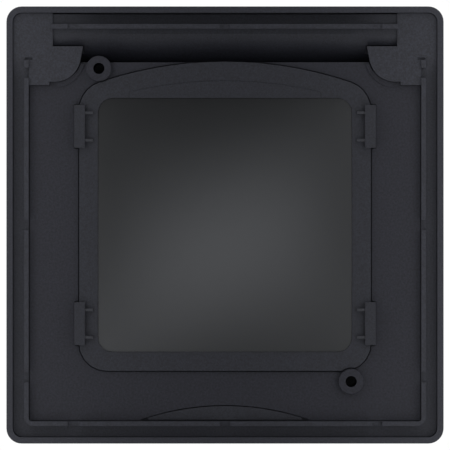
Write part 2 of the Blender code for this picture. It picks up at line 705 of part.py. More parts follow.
def plate_outline():
    """The rear plate's outer edge, with room for the corner blocks and the finger arc."""
    foot = BLOCK_FOOT - FIT
    lower = -PLATE_EDGE
    points = [(PLATE_EDGE, foot)]
    right = block_edge(FIT)
    points += right
    points += mirrored(right)
    points.append((-PLATE_EDGE, foot))
    points.append((-PLATE_EDGE, lower))
    points.append((PLATE_EDGE, lower))
    return points


def make_screw_post(name, x, z, material):
    """A round post from the rear face down to the tray, bored for a long screw later."""
    chamfer = 0.15 * MM
    foot = TRAY_Y - FIT
    section = [
        (POST_R - chamfer, POST_Y),
        (POST_R, POST_Y + chamfer),
        (POST_R, foot),
    ]
    return turned(name, section, "Y", x, z, False, material)


def make_rear_plate(material):
    plate = extrude("rear_plate", plate_outline(), "Y", PLATE_Y, PLATE_Y + PLATE_THICK, material)
    for side in (1, -1):
        inner = arc(BLOCK_ROUND_X, BLOCK_ROUND_Z, BLOCK_ROUND + FIT, 266, 196, 8)
        outer = arc(BLOCK_ROUND_X, BLOCK_ROUND_Z, BLOCK_ROUND + FIT + PLATE_LIP, 266, 196, 8)
        lip = inner + outer[::-1]
        lip = lip if side > 0 else mirrored(lip)
        y = PLATE_Y - PLATE_LIP_RISE
        fuse(plate, extrude(f"plate_lip_{side}", lip, "Y", y, PLATE_Y + PLATE_THICK / 2, material))
    clear = MM
    low = PLATE_Y - clear
    seat = RING_Y + RING_THICK + FIT
    high = seat + BACK_LIP_THICK + clear
    back = seat + BACK_LIP_THICK
    lip = extrude("plate_back_lip", ring_outline(FIT + BACK_LIP_OUT), "Y", PLATE_Y + PLATE_THICK / 2, back, material)
    over = rectangle(-RING_HALF, RING_HALF, PLATE_TOP_Z, PLATE_TOP_Z + BLOCK_LENGTH)
    cut(lip, extrude("back_lip_trim", over, "Y", low, high, material))
    fuse(plate, lip)
    cut(plate, extrude("plate_window", ring_outline(FIT), "Y", low, seat, material))
    cut(plate, extrude("plate_window_deep", ring_outline(-BACK_LIP_IN), "Y", low, high, material))
    finger = finger_arc(0) + [(-FINGER_HALF, -PLATE_EDGE - clear), (FINGER_HALF, -PLATE_EDGE - clear)]
    cut(plate, extrude("plate_finger", finger, "Y", low, high, material))
    for sx in (1, -1):
        for sz in (1, -1):
            lo_x, hi_x = sorted((sx * (TOWER_INNER - FIT), sx * (TOWER_INNER + TOWER_WIDTH + FIT)))
            lo_z, hi_z = sorted((sz * (TOWER_LOW - FIT), sz * (TOWER_LOW + TOWER_LENGTH + FIT)))
            gap = rectangle(lo_x, hi_x, lo_z, hi_z)
            cut(plate, extrude(f"plate_tower_gap_{sx}_{sz}", gap, "Y", low, high, material))
    for side in (1, -1):
        x = side * POST_X
        z = -side * POST_Z
        fuse(plate, make_screw_post(f"plate_post_{side}", x, z, material))
        bore = circle(x, z, POST_BORE_R)
        cut(plate, extrude(f"plate_bore_{side}", bore, "Y", 0, TRAY_Y, material))
    return plate


def make_window_frame(material):
    back = RING_Y + RING_THICK
    ring = extrude("window_frame", ring_outline(0), "Y", RING_Y, back, material)
    opening = rounded_box(
        -WINDOW_HALF, WINDOW_HALF, -WINDOW_HALF, WINDOW_HALF, WINDOW_CORNER)
    brow_z = BROW_TOP_Z - BROW_R
    spread = math.degrees(math.asin(BROW_HALF / BROW_R))
    brow = arc(0, brow_z, BROW_R, 90 - spread, 90 + spread, 10)
    brow += [(-BROW_HALF, WINDOW_HALF - MM), (BROW_HALF, WINDOW_HALF - MM)]
    fuse(ring, extrude("brow", brow, "Y", RING_Y - BROW_RISE, back - MM, material))
    cut(ring, extrude("window_cut", opening, "Y", RING_Y - MM, back + MM, material))
    for side in (1, -1):
        hole = circle(side * POST_X, -side * POST_Z, POST_R + FIT)
        cut(ring, extrude(f"ring_post_gap_{side}", hole, "Y", RING_Y - MM, back + MM, material))
    for sx in (1, -1):
        for sz in (1, -1):
            tag = f"{sx}_{sz}"
            lo_x, hi_x = sorted((sx * TOWER_INNER, sx * (TOWER_INNER + TOWER_WIDTH)))
            lo_z, hi_z = sorted((sz * TOWER_LOW, sz * (TOWER_LOW + TOWER_LENGTH)))
            tower = block(
                f"tower_{tag}", (lo_x, TOWER_Y, lo_z), (hi_x, TOWER_Y + TOWER_DEPTH, hi_z), material)
            fuse(ring, tower)
            lo_x, hi_x = sorted((sx * (TOWER_INNER - GUSSET_REACH), sx * (TOWER_INNER + GUSSET_THICK / 2)))
            half = GUSSET_THICK / 2
            for share in (GUSSET_FROM_END, TOWER_LENGTH - GUSSET_FROM_END):
                z = sz * (TOWER_LOW + share)
                low = (lo_x, TOWER_Y + GUSSET_DROP, z - half)
                fuse(ring, block(f"gusset_{tag}_{share:.4f}", low, (hi_x, RING_Y + half, z + half), material))
    return ring


def make_button_guide(material):
    """The piece that closes the plate's lower arc and steadies the button's stem."""
    gap = FIT
    low = -PLATE_EDGE
    radius = FINGER_ARC_R - gap
    centre_z = FINGER_ARC_TOP_Z - FINGER_ARC_R
    half = FINGER_HALF - 2 * MM
    spread = math.degrees(math.asin(half / radius))
    outline = arc(0, centre_z, radius, 90 - spread, 90 + spread, 12)
    outline += [(-half, low), (half, low)]
    back = PLATE_Y + PLATE_THICK
    guide = extrude("button_guide", outline, "Y", PLATE_Y - 0.2 * MM, back, material)
    leg_outer = GUIDE_HALF
    leg_inner = GUIDE_HALF - GUIDE_THICK
    wall_low = -LEDGE_INNER + FIT
    wall_high = centre_z + math.sqrt(radius ** 2 - leg_outer ** 2) - 0.02 * MM
    foot = BUTTON_Y - STEM_HALF - FIT
    for side in (1, -1):
        lo, hi = sorted((side * leg_inner, side * leg_outer))
        leg = block(f"guide_leg_{side}", (lo, back - MM, wall_low), (hi, foot, wall_high), material)
        fuse(guide, leg)
    bridge = block(
        "guide_bridge",
        (-leg_outer, foot - GUIDE_THICK, wall_low),
        (leg_outer, foot, wall_high),
        material,
    )
    fuse(guide, bridge)
    return guide


# ---- heat path ----

def make_heat_plate(material):
    flange = HEAT_HALF + HEAT_FLANGE
    flange_r = WINDOW_CORNER + HEAT_FLANGE - FIT
    corner = WINDOW_CORNER - FIT
    front = HEAT_BACK_Y - HEAT_FLANGE_THICK
    edge = 0.4 * MM
    edge_y = HEAT_CREST_Y + HEAT_DOME
    section = [
        (flange, flange_r, HEAT_BACK_Y),
        (flange, flange_r, front),
        (HEAT_HALF, corner, front),
        (HEAT_HALF, corner, edge_y + edge),
        (HEAT_HALF - edge * 0.3, corner, edge_y + edge * 0.3),
        (HEAT_HALF - edge, corner, edge_y),
    ]
    for share in (0.86, 0.7, 0.52, 0.34, 0.16):
        section.append((HEAT_HALF * share, corner, HEAT_CREST_Y + HEAT_DOME * share ** 2))
    return square_sweep("heat_plate", section, False, material)


def make_gasket(material):
    inner = HEAT_HALF + FIT
    outer = HEAT_HALF + HEAT_FLANGE
    low = RING_Y + RING_THICK + FIT
    high = low + GASKET_THICK
    corner = WINDOW_CORNER
    section = [
        (inner, corner, low),
        (outer, corner + HEAT_FLANGE - FIT, low),
        (outer, corner + HEAT_FLANGE - FIT, high),
        (inner, corner, high),
    ]
    return square_sweep("window_gasket", section, True, material)


def sink_back():
    """Where the heat sink's base ends, above the thermal pad and the processor."""
    return CHIP_Y - PROCESSOR_HEIGHT - 2 * FIT - PAD_THICK


def make_heat_sink(material):
    """A comb of fins, run down the device, on a base that faces the processor."""
    fin_tip = HEAT_BACK_Y + FIT
    base_back = sink_back()
    base_front = base_back - SINK_BASE
    pitch = (2 * SINK_HALF - SINK_FIN) / (SINK_FINS - 1)
    outline = [(-SINK_HALF, base_back)]
    for i in range(SINK_FINS):
        left = -SINK_HALF + pitch * i
        right = left + SINK_FIN
        if i:
            outline.append((left, base_front))
        outline.append((left, fin_tip))
        outline.append((right, fin_tip))
        if i < SINK_FINS - 1:
            outline.append((right, base_front))
    outline.append((SINK_HALF, base_back))
    return extrude("heat_sink", outline, "Z", SINK_LOW_Z, SINK_TOP_Z, material)


# ---- board and what stands on it ----

def screw_places():
    """Names and centres of the four board screws."""
    places = []
    for i, (sx, z) in enumerate((
        (1, BOARD_SCREW_TOP_Z), (-1, BOARD_SCREW_TOP_Z),
        (-1, BOARD_SCREW_LOW_Z), (1, BOARD_SCREW_LOW_Z),
    )):
        places.append((f"board_screw_{i + 1}", sx * BOARD_SCREW_X, z))
    return places


def tray_screw_places():
    """Names and centres of the four tray screws."""
    places = []
    for i, (sx, sz) in enumerate(((1, 1), (-1, 1), (-1, -1), (1, -1))):
        places.append((f"tray_screw_{i + 1}", sx * TRAY_SCREW, sz * TRAY_SCREW))
    return places


def make_screw(name, x, z, seat_y, length, material):
    """A pan head screw whose head seats at seat_y and whose shank runs to +Y."""
    head = seat_y - SCREW_HEAD
    section = [
        (SCREW_HEAD_R * 0.7, head),
        (SCREW_HEAD_R, head + SCREW_HEAD * 0.5),
        (SCREW_HEAD_R, seat_y),
        (SCREW_R, seat_y),
        (SCREW_R, seat_y + length - SCREW_R),
        (SCREW_R * 0.4, seat_y + length),
    ]
    return turned(name, section, "Y", x, z, False, material, 12)


def make_main_board(material):
    outline = rounded_box(-BOARD_HALF, BOARD_HALF, BOARD_LOW_Z, BOARD_TOP_Z, 2 * MM, 3)
    back = BOARD_Y + BOARD_THICK
    board = extrude("main_board", outline, "Y", BOARD_Y, back, material)
    holes = [(x, z, SCREW_R + FIT) for _, x, z in screw_places()]
    holes.append((POST_X, -POST_Z, POST_R + FIT))
    holes.append((-POST_X, POST_Z, POST_R + FIT))
    for x, z, r in holes:
        hole = circle(x, z, r, 12)
        cut(board, extrude(f"board_hole_{x:.3f}_{z:.3f}", hole, "Y", BOARD_Y - MM, back + MM, material))
    return board


def make_tray(material):
    """The inner tray that carries the board and backs the aerials."""
    section = [
        (TRAY_HALF, 1.5 * MM, TRAY_Y),
        (TRAY_HALF, 1.5 * MM, TRAY_BACK_Y),
        (TRAY_WINDOW, 3 * MM, TRAY_BACK_Y),
        (TRAY_WINDOW, 3 * MM, TRAY_Y),
    ]
    tray = square_sweep("board_tray", section, True, material)
    for name, x, z in screw_places():
        low = BOARD_Y + BOARD_THICK + FIT
        stand = turned(
            f"stand_{name}", [(STAND_R, low), (STAND_R, TRAY_Y + MM)], "Y", x, z, False, material, 12)
        fuse(tray, stand)
        bore = circle(x, z, SCREW_R + FIT, 12)
        cut(tray, extrude(f"bore_{name}", bore, "Y", low - MM, TRAY_BACK_Y + MM, material))
    for name, x, z in tray_screw_places():
        bore = circle(x, z, SCREW_R + FIT, 12)
        cut(tray, extrude(f"bore_{name}", bore, "Y", TRAY_Y - MM, TRAY_BACK_Y + MM, material))
    for side in (1, -1):
        lo, hi = sorted((side * TRAY_WALL_OUTER, side * (TRAY_WALL_OUTER - TRAY_WALL_THICK)))
        reach = AERIAL_CENTRE_Z + AERIAL_LENGTH / 2
        wall = block(
            f"tray_wall_{side}", (lo, TRAY_WALL_REAR_Y, -reach), (hi, TRAY_Y + MM, reach), material)
        fuse(tray, wall)
    return tray


def make_jack(name, x, material):
    """A modular network jack whose mouth faces up into the cable bay."""
    low_z = JACK_FACE_Z - JACK_LENGTH
    jack = block(
        name,
        (x - JACK_WIDTH / 2, CHIP_Y - JACK_HEIGHT, low_z),
        (x + JACK_WIDTH / 2, CHIP_Y, JACK_FACE_Z),
        material,
    )
    centre_y = CHIP_Y - JACK_HEIGHT / 2
    half_w = JACK_MOUTH_WIDTH / 2
    half_h = JACK_MOUTH_HEIGHT / 2
    latch_y = centre_y - half_h
    wide_y = latch_y + JACK_LATCH_DEPTH
    mouth = [
        (x - half_w, centre_y + half_h),
        (x - half_w, wide_y),
        (x - JACK_LATCH_HALF, wide_y),
        (x - JACK_LATCH_HALF, latch_y),
        (x + JACK_LATCH_HALF, latch_y),
        (x + JACK_LATCH_HALF, wide_y),
        (x + half_w, wide_y),
        (x + half_w, centre_y + half_h),
    ]
    floor_z = JACK_FACE_Z - JACK_MOUTH_DEPTH
    cut(jack, extrude(f"{name}_mouth", mouth, "Z", floor_z, JACK_FACE_Z + MM, material))
    return jack


def make_jack_contacts(name, x, material):
    """The moulded strip of eight springs on the floor of a jack's mouth."""
    wall_y = CHIP_Y - JACK_HEIGHT / 2 + JACK_MOUTH_HEIGHT / 2 - FIT
    floor_z = JACK_FACE_Z - JACK_MOUTH_DEPTH + FIT
    strip_y = wall_y - CONTACT_STRIP_THICK
    tip_y = strip_y - CONTACT_PROUD
    outline = [(x - CONTACT_STRIP_HALF, wall_y), (x - CONTACT_STRIP_HALF, strip_y)]
    for i in range(CONTACT_COUNT):
        centre = x + (i - (CONTACT_COUNT - 1) / 2) * CONTACT_PITCH
        left = centre - CONTACT_WIDTH / 2
        right = centre + CONTACT_WIDTH / 2
        outline += [(left, strip_y), (left, tip_y), (right, tip_y), (right, strip_y)]
    outline += [(x + CONTACT_STRIP_HALF, strip_y), (x + CONTACT_STRIP_HALF, wall_y)]
    return extrude(name, outline, "Z", floor_z, floor_z + CONTACT_LENGTH, material)


def make_power_socket(material):
    """A small reversible power socket: a flat shell with a tongue."""
    high = CHIP_Y
    low = high - POWER_HEIGHT
    mid = (low + high) / 2
    z0 = JACK_FACE_Z - POWER_LENGTH
    socket = extrude(
        "power_socket", stadium(POWER_WIDTH, POWER_HEIGHT, POWER_X, mid), "Z", z0, JACK_FACE_Z, material)
    hollow = stadium(POWER_WIDTH - 2 * POWER_WALL, POWER_HEIGHT - 2 * POWER_WALL, POWER_X, mid)
    cut(socket, extrude("power_hollow", hollow, "Z", z0 + POWER_BACK_WALL, JACK_FACE_Z + MM, material))
    tongue = block(
        "power_tongue",
        (POWER_X - POWER_TONGUE_HALF, mid - POWER_TONGUE_THICK / 2, z0 + POWER_BACK_WALL / 2),
        (POWER_X + POWER_TONGUE_HALF, mid + POWER_TONGUE_THICK / 2, JACK_FACE_Z - POWER_TONGUE_BACK),
        material,
    )
    fuse(socket, tongue)
    return socket


def make_shield_can(name, x, z, width, length, height, material):
    """A folded metal can, open towards the board."""
    wall = CAN_WALL
    top = CHIP_Y - height
    can = block(
        name, (x - width / 2, top, z - length / 2), (x + width / 2, CHIP_Y, z + length / 2), material)
    hollow = block(
        f"{name}_hollow",
        (x - width / 2 + wall, top + wall, z - length / 2 + wall),
        (x + width / 2 - wall, CHIP_Y + MM, z + length / 2 - wall),
        material,
    )
    cut(can, hollow)
    return can


def make_chip(name, x, z, width, length, height, material):
    """A moulded chip with slightly drafted sides, on the board's wall side."""
    rings = []
    for inset, y in ((0, CHIP_Y), (CHIP_DRAFT, CHIP_Y - height)):
        outline = rectangle(
            x - width / 2 + inset, x + width / 2 - inset,
            z - length / 2 + inset, z + length / 2 - inset,
        )
        rings.append([(u, y, v) for u, v in outline])
    return loft(name, rings, False, material)


def make_room_chip(name, x, z, width, length, height, material):
    """A boxed component on the board's room side."""
    start = BOARD_Y + BOARD_THICK + FIT
    return block(
        name, (x - width / 2, start, z - length / 2), (x + width / 2, start + height, z + length / 2), material)


def make_capacitor(name, x, z, radius, height, material):
    """An upright can capacitor with a rolled shoulder."""
    top = CHIP_Y - height
    neck = CAPACITOR_NECK
    section = [
        (radius * 0.86, top),
        (radius, top + neck),
        (radius, CHIP_Y - 3 * neck),
        (radius * 0.93, CHIP_Y - 2 * neck),
        (radius, CHIP_Y - neck),
        (radius, CHIP_Y),
    ]
    return turned(name, section, "Y", x, z, False, material, 16)


def make_aerial(name, side, centre_z, material):
    """A stamped aerial: a slotted blade that stands along a side wall."""
    outer = TRAY_WALL_OUTER - TRAY_WALL_THICK - FIT
    inner = outer - AERIAL_THICK
    low_y = TRAY_Y - FIT - AERIAL_HEIGHT
    high_y = TRAY_Y - FIT
    half = AERIAL_LENGTH / 2
    slot_y = low_y + AERIAL_SLOT_IN
    slot_back = slot_y + AERIAL_SLOT
    slot_low = centre_z + half * 0.3
    slot_high = centre_z + half * 0.7
    outline = [
        (low_y, centre_z - half),
        (high_y, centre_z - half),
        (high_y, centre_z + half),
        (low_y, centre_z + half),
        (low_y, slot_low),
        (slot_y, slot_low),
        (slot_y, slot_high),
        (slot_back, slot_high),
        (slot_back, slot_low - AERIAL_SLOT),
        (low_y, slot_low - AERIAL_SLOT),
    ]
    lo, hi = sorted((side * inner, side * outer))
    return extrude(name, outline, "X", lo, hi, material)


def smooth_route(points, per_span=4):
    """Points along a smooth curve through the given ones."""
    padded = [points[0]] + points + [points[-1]]
    route = []
    for a, b, c, d in zip(padded, padded[1:], padded[2:], padded[3:]):
        for i in range(per_span):
            t = i / per_span
            route.append(tuple(
                0.5 * (2 * q + (r - p) * t + (2 * p - 5 * q + 4 * r - s) * t * t
                       + (3 * q - p - 3 * r + s) * t ** 3)
                for p, q, r, s in zip(a, b, c, d)
            ))
    route.append(points[-1])
    return route


def make_lead(name, points, radius, material):
    """A round lead along a smooth route."""
    curve = bpy.data.curves.new(name, "CURVE")
    curve.dimensions = "3D"
    curve.bevel_depth = radius
    curve.bevel_resolution = 2
    curve.use_fill_caps = True
    route = smooth_route(points)
    spline = curve.splines.new("POLY")
    spline.points.add(len(route) - 1)
    for target, point in zip(spline.points, route):
        target.co = (*point, 1.0)
    curve.materials.append(material)
    obj = bpy.data.objects.new(name, curve)
    bpy.context.scene.collection.objects.link(obj)
    return obj


def aerial_route(side, centre_z, end_z):
    """A lead's way from its aerial to the edge of the radio can beside it."""
    blade = TRAY_WALL_OUTER - TRAY_WALL_THICK - FIT - AERIAL_THICK
    start_x = blade - FIT - LEAD_R
    y = CHIP_Y - LEAD_R - FIT
    can_edge = CAN_X + CAN_WIDTH / 2
    across = start_x - can_edge
    rise = end_z - centre_z
    return [
        (side * start_x, y - 6 * MM, centre_z),
        (side * (start_x - across * 0.09), y - 3 * MM, centre_z + rise * 0.15),
        (side * (start_x - across * 0.35), y - 0.6 * MM, centre_z + rise * 0.5),
        (side * (start_x - across * 0.5), y, centre_z + rise * 0.85),
        (side * (start_x - across * 0.7), y, end_z),
        (side * (can_edge + FIT), y, end_z),
    ]


# ---- buttons and light ----

def make_pair_button(material):
    """A pill cap in the bottom wall with a retaining flange and a stem."""
    skin = -BODY_HALF + BUTTON_SINK
    flange_low = -COVER_DEEP + FIT
    flange_high = flange_low + BUTTON_FLANGE_THICK
    chamfer = BUTTON_CHAMFER
    rings = []
    for inset, z in ((chamfer, skin), (0, skin + chamfer), (0, flange_low + BUTTON_FLANGE_THICK / 2)):
        outline = stadium(BUTTON_LENGTH - 2 * inset, BUTTON_WIDTH - 2 * inset, 0, BUTTON_Y)
        rings.append([(x, y, z) for x, y in outline])
    button = loft("pair_button", rings, False, material)
    wide = stadium(BUTTON_LENGTH + 2 * BUTTON_FLANGE, BUTTON_WIDTH + 2 * BUTTON_FLANGE * 0.6, 0, BUTTON_Y)
    fuse(button, extrude("button_flange", wide, "Z", flange_low, flange_high, material))
    stem_end = BOARD_LOW_Z - PLUNGER_PROUD - FIT
    stem = block(
        "button_stem",
        (-STEM_HALF, BUTTON_Y - STEM_HALF, flange_high - BUTTON_FLANGE_THICK / 2),
        (STEM_HALF, BUTTON_Y + STEM_HALF, stem_end),
        material,
    )
    fuse(button, stem)
    return button


def make_switch(name, x, travel, material):
    """A side-acting switch body with a pocket for its plunger."""
    face = BOARD_LOW_Z
    body = block(
        name,
        (x - SWITCH_HALF, CHIP_Y - SWITCH_HEIGHT, face),
        (x + SWITCH_HALF, CHIP_Y, face + SWITCH_DEPTH),
        material,
    )
    reach = face + PLUNGER_LENGTH - PLUNGER_PROUD + travel + FIT
    half_y = PLUNGER_HEIGHT / 2 + FIT
    pocket = block(
        f"{name}_pocket",
        (x - PLUNGER_HALF - FIT, BUTTON_Y - half_y, face - MM),
        (x + PLUNGER_HALF + FIT, BUTTON_Y + half_y, reach),
        material,
    )
    cut(body, pocket)
    return body


def make_plunger(name, x, material):
    """The small key that a button pushes into its switch."""
    face = BOARD_LOW_Z - PLUNGER_PROUD
    return block(
        name,
        (x - PLUNGER_HALF, BUTTON_Y - PLUNGER_HEIGHT / 2, face),
        (x + PLUNGER_HALF, BUTTON_Y + PLUNGER_HEIGHT / 2, face + PLUNGER_LENGTH),
        material,
    )


def make_light_pipe(material):
    """A clear rod from the light to the front skin."""
    start = BOARD_Y + BOARD_THICK + LIGHT_HEIGHT + 2 * FIT
    tip = BODY_DEPTH - PIPE_SINK
    section = [
        (PIPE_R * 1.5, start),
        (PIPE_R * 1.5, start + PIPE_FOOT),
        (PIPE_R, start + PIPE_FOOT * 1.5),
        (PIPE_R, tip - PIPE_R * 0.2),
        (PIPE_R * 0.7, tip),
    ]
    return turned("light_pipe", section, "Y", 0, PIPE_Z, False, material, 16)


def build():
    for obj in list(bpy.data.objects):
        bpy.data.objects.remove(obj, do_unlink=True)

    shell = finish("moulded_plastic", (0.034, 0.036, 0.041), 0.62)
    inner = finish("inner_plastic", (0.045, 0.046, 0.05), 0.6)
    satin = finish("satin_metal", (0.075, 0.076, 0.079), 0.45, 0.6)
    rubber = finish("foam_rubber", (0.02, 0.02, 0.02), 0.9)
    aluminium = finish("aluminium", (0.62, 0.63, 0.64), 0.38, 1.0)
    pad = finish("thermal_silicone", (0.36, 0.42, 0.5), 0.8)
    laminate = finish("board_laminate", (0.012, 0.09, 0.045), 0.45)
    epoxy = finish("chip_epoxy", (0.018, 0.018, 0.02), 0.55)
    tinplate = finish("tinplate", (0.66, 0.66, 0.63), 0.32, 1.0)
    ferrite = finish("ferrite", (0.05, 0.048, 0.045), 0.7)
    brass = finish("gold_plate", (0.75, 0.56, 0.22), 0.3, 1.0)
    steel = finish("zinc_steel", (0.52, 0.53, 0.54), 0.35, 1.0)
    coax = finish("lead_jacket", (0.03, 0.03, 0.03), 0.5)
    clear = finish("clear_plastic", (0.8, 0.82, 0.84), 0.12)

    make_front_cover(shell)
    make_rear_frame(shell)
    make_rear_plate(shell)
    make_window_frame(shell)
    make_cable_scoop(shell)
    make_button_guide(shell)

    make_heat_plate(satin)
    make_gasket(rubber)
    make_heat_sink(aluminium)
    pad_y = sink_back() + FIT
    block(
        "thermal_pad",
        (-PAD_HALF, pad_y, PROCESSOR_Z - PAD_HALF),
        (PAD_HALF, pad_y + PAD_THICK, PROCESSOR_Z + PAD_HALF),
        pad,
    )
    make_chip("processor", 0, PROCESSOR_Z, 2 * PROCESSOR_HALF, 2 * PROCESSOR_HALF, PROCESSOR_HEIGHT, epoxy)

    make_main_board(laminate)
    make_tray(inner)
    for name, x, z in screw_places():
        make_screw(name, x, z, BOARD_Y - FIT, 5 * MM, steel)
    for name, x, z in tray_screw_places():
        make_screw(name, x, z, TRAY_Y - FIT, 7 * MM, steel)

    for i in range(JACK_COUNT):
        x = JACK_FIRST_X + JACK_PITCH * i
        make_jack(f"lan_jack_{i + 1}", x, epoxy)
        make_jack_contacts(f"lan_jack_{i + 1}_contacts", x, brass)
        make_room_chip(
            f"lan_transformer_{i + 1}", x, JACK_FACE_Z - TRANSFORMER_DROP,
            TRANSFORMER_WIDTH, TRANSFORMER_LENGTH, TRANSFORMER_HEIGHT, epoxy)
    make_power_socket(tinplate)

    for side, word in ((1, "right"), (-1, "left")):
        make_shield_can(
            f"radio_can_{word}", side * CAN_X, CAN_Z, CAN_WIDTH, CAN_LENGTH, CAN_HEIGHT, tinplate)
        make_chip(
            f"memory_chip_{word}", side * MEMORY_X, PROCESSOR_Z, MEMORY_WIDTH, MEMORY_LENGTH,
            CHIP_HEIGHT, epoxy)
    make_chip("flash_chip", 0, PROCESSOR_Z - FLASH_DROP, FLASH_WIDTH, FLASH_LENGTH, CHIP_HEIGHT, epoxy)
    for i in range(2):
        z = JACK_FACE_Z - CAPACITOR_DROP - CAPACITOR_PITCH * i
        make_capacitor(f"capacitor_{i + 1}", CAPACITOR_X, z, CAPACITOR_R, CAPACITOR_HEIGHT, tinplate)
        make_chip(
            f"inductor_{i + 1}", INDUCTOR_X, z - INDUCTOR_DROP, INDUCTOR_SIZE, INDUCTOR_SIZE,
            INDUCTOR_HEIGHT, ferrite)

    for side, word in ((1, "right"), (-1, "left")):
        for up, level in ((1, "upper"), (-1, "lower")):
            centre = up * AERIAL_CENTRE_Z
            make_aerial(f"aerial_{word}_{level}", side, centre, brass)
            end = CAN_Z + up * CAN_LENGTH * 0.32
            route = aerial_route(side, centre, end)
            make_lead(f"aerial_lead_{word}_{level}", route, LEAD_R, coax)

    make_pair_button(shell)
    make_switch("pair_switch_body", 0, BUTTON_TRAVEL, epoxy)
    make_plunger("pair_switch_plunger", 0, coax)
    make_switch("reset_switch_body", RESET_X, RESET_TRAVEL, epoxy)
    make_plunger("reset_switch_plunger", RESET_X, coax)
    make_room_chip("status_light", 0, PIPE_Z, LIGHT_SIZE, LIGHT_SIZE, LIGHT_HEIGHT, clear)
    make_light_pipe(clear)


build()
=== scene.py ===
import json
import math

import bmesh
import bpy
from mathutils import Matrix, Vector


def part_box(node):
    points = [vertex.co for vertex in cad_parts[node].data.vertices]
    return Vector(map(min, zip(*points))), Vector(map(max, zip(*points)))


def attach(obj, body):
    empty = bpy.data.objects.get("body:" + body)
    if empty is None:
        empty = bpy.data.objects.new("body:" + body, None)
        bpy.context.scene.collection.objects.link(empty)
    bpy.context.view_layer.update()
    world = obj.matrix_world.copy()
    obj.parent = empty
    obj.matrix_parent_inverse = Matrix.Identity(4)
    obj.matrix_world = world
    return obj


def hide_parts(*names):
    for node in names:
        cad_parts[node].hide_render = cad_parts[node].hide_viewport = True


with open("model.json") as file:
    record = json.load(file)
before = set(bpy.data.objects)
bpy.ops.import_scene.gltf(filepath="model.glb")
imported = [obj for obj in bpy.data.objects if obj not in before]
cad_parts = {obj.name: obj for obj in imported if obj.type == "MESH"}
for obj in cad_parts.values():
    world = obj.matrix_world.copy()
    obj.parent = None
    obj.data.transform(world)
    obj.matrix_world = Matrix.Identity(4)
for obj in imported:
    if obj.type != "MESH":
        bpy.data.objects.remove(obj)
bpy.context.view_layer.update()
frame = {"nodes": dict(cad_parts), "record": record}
mm = 0.001  # lengths are in metres


# Linear RGBA from an sRGB hex colour.
def hexColour(text):
    channels = [int(text[i:i + 2], 16) / 255 for i in (1, 3, 5)]
    return [c / 12.92 if c <= 0.04045 else ((c + 0.055) / 1.055) ** 2.4 for c in channels] + [1.0]


# Adds a node, sets its properties, then sets or links its inputs.
def addNode(tree, kind, settings=None, inputs=None):
    node = tree.nodes.new(kind)
    for name, value in (settings or {}).items():
        setattr(node, name, value)
    for name, value in (inputs or {}).items():
        if isinstance(value, bpy.types.NodeSocket):
            tree.links.new(value, node.inputs[name])
        else:
            node.inputs[name].default_value = value
    return node


# A material, its node tree, its shader and the object's own coordinates.
def newMaterial(name):
    material = bpy.data.materials.new(name)
    material.use_nodes = True
    tree = material.node_tree
    shader = tree.nodes["Principled BSDF"]
    place = addNode(tree, "ShaderNodeTexCoord").outputs["Object"]
    return material, tree, shader, place


# Noise whose lumps are about size metres across.
def noise(tree, place, size, detail=2.0, roughness=0.5):
    return addNode(tree, "ShaderNodeTexNoise", None, {
        "Vector": place, "Scale": 1 / size, "Detail": detail, "Roughness": roughness}).outputs["Fac"]


# Maps a 0-1 factor to a range of values, with most of the swing between start and end.
def between(tree, factor, low, high, start=0.3, end=0.7):
    return addNode(tree, "ShaderNodeMapRange", None, {
        "Value": factor, "From Min": start, "From Max": end, "To Min": low, "To Max": high}).outputs["Result"]


def mixColour(tree, factor, first, second):
    node = tree.nodes.new("ShaderNodeMix")
    node.data_type = "RGBA"
    tree.links.new(factor, node.inputs[0])
    for socket, value in ((node.inputs[6], first), (node.inputs[7], second)):
        if isinstance(value, bpy.types.NodeSocket):
            tree.links.new(value, socket)
        else:
            socket.default_value = value
    return node.outputs[2]


# A normal that follows a 0-1 height over a depth in metres.
def bump(tree, height, depth):
    return addNode(tree, "ShaderNodeBump", None, {
        "Height": height, "Distance": depth, "Strength": 1.0}).outputs["Normal"]


# Gloss that wanders by swing either side of the finish's own roughness.
def wanderGloss(tree, shader, factor, roughness, swing):
    gloss = between(tree, factor, roughness - swing, roughness + swing)
    tree.links.new(gloss, shader.inputs["Roughness"])


grainMix = {"coarse": 1.9, "coarseDetail": 1.5, "fineDetail": 2.0, "fineRoughness": 0.6,
            "low": 0.7, "high": 1.3, "swing": 0.05, "ior": 1.5}


# Moulded plastic with a fine spark-eroded grain: two noises give its lumps, tone and gloss.
def grainedPlastic(name, look):
    material, tree, shader, place = newMaterial(name)
    coarse = noise(tree, place, look["grain"] * grainMix["coarse"], grainMix["coarseDetail"])
    fine = noise(tree, place, look["grain"], grainMix["fineDetail"], grainMix["fineRoughness"])
    tone = addNode(tree, "ShaderNodeMath", {"operation": "ADD"}, {0: coarse, 1: fine}).outputs[0]
    shade = between(tree, tone, 0.0, 1.0, grainMix["low"], grainMix["high"])
    colour = mixColour(tree, shade, hexColour(look["dark"]), hexColour(look["light"]))
    tree.links.new(colour, shader.inputs["Base Color"])
    wanderGloss(tree, shader, fine, look["roughness"], grainMix["swing"])
    shader.inputs["IOR"].default_value = grainMix["ior"]
    tree.links.new(bump(tree, tone, look["relief"]), shader.inputs["Normal"])
    return material


# Powder-fine satin paint on die-cast metal, with a slow drift of tone.
def paintedMetal(name, look):
    material, tree, shader, place = newMaterial(name)
    fine = noise(tree, place, look["grain"], 2.0)
    cloud = noise(tree, place, look["cloud"], 1.0)
    colour = mixColour(tree, between(tree, cloud, 0, 1), hexColour(look["dark"]), hexColour(look["light"]))
    tree.links.new(colour, shader.inputs["Base Color"])
    wanderGloss(tree, shader, fine, look["roughness"], look["swing"])
    shader.inputs["Metallic"].default_value = look["metallic"]
    tree.links.new(bump(tree, fine, look["relief"]), shader.inputs["Normal"])
    return material


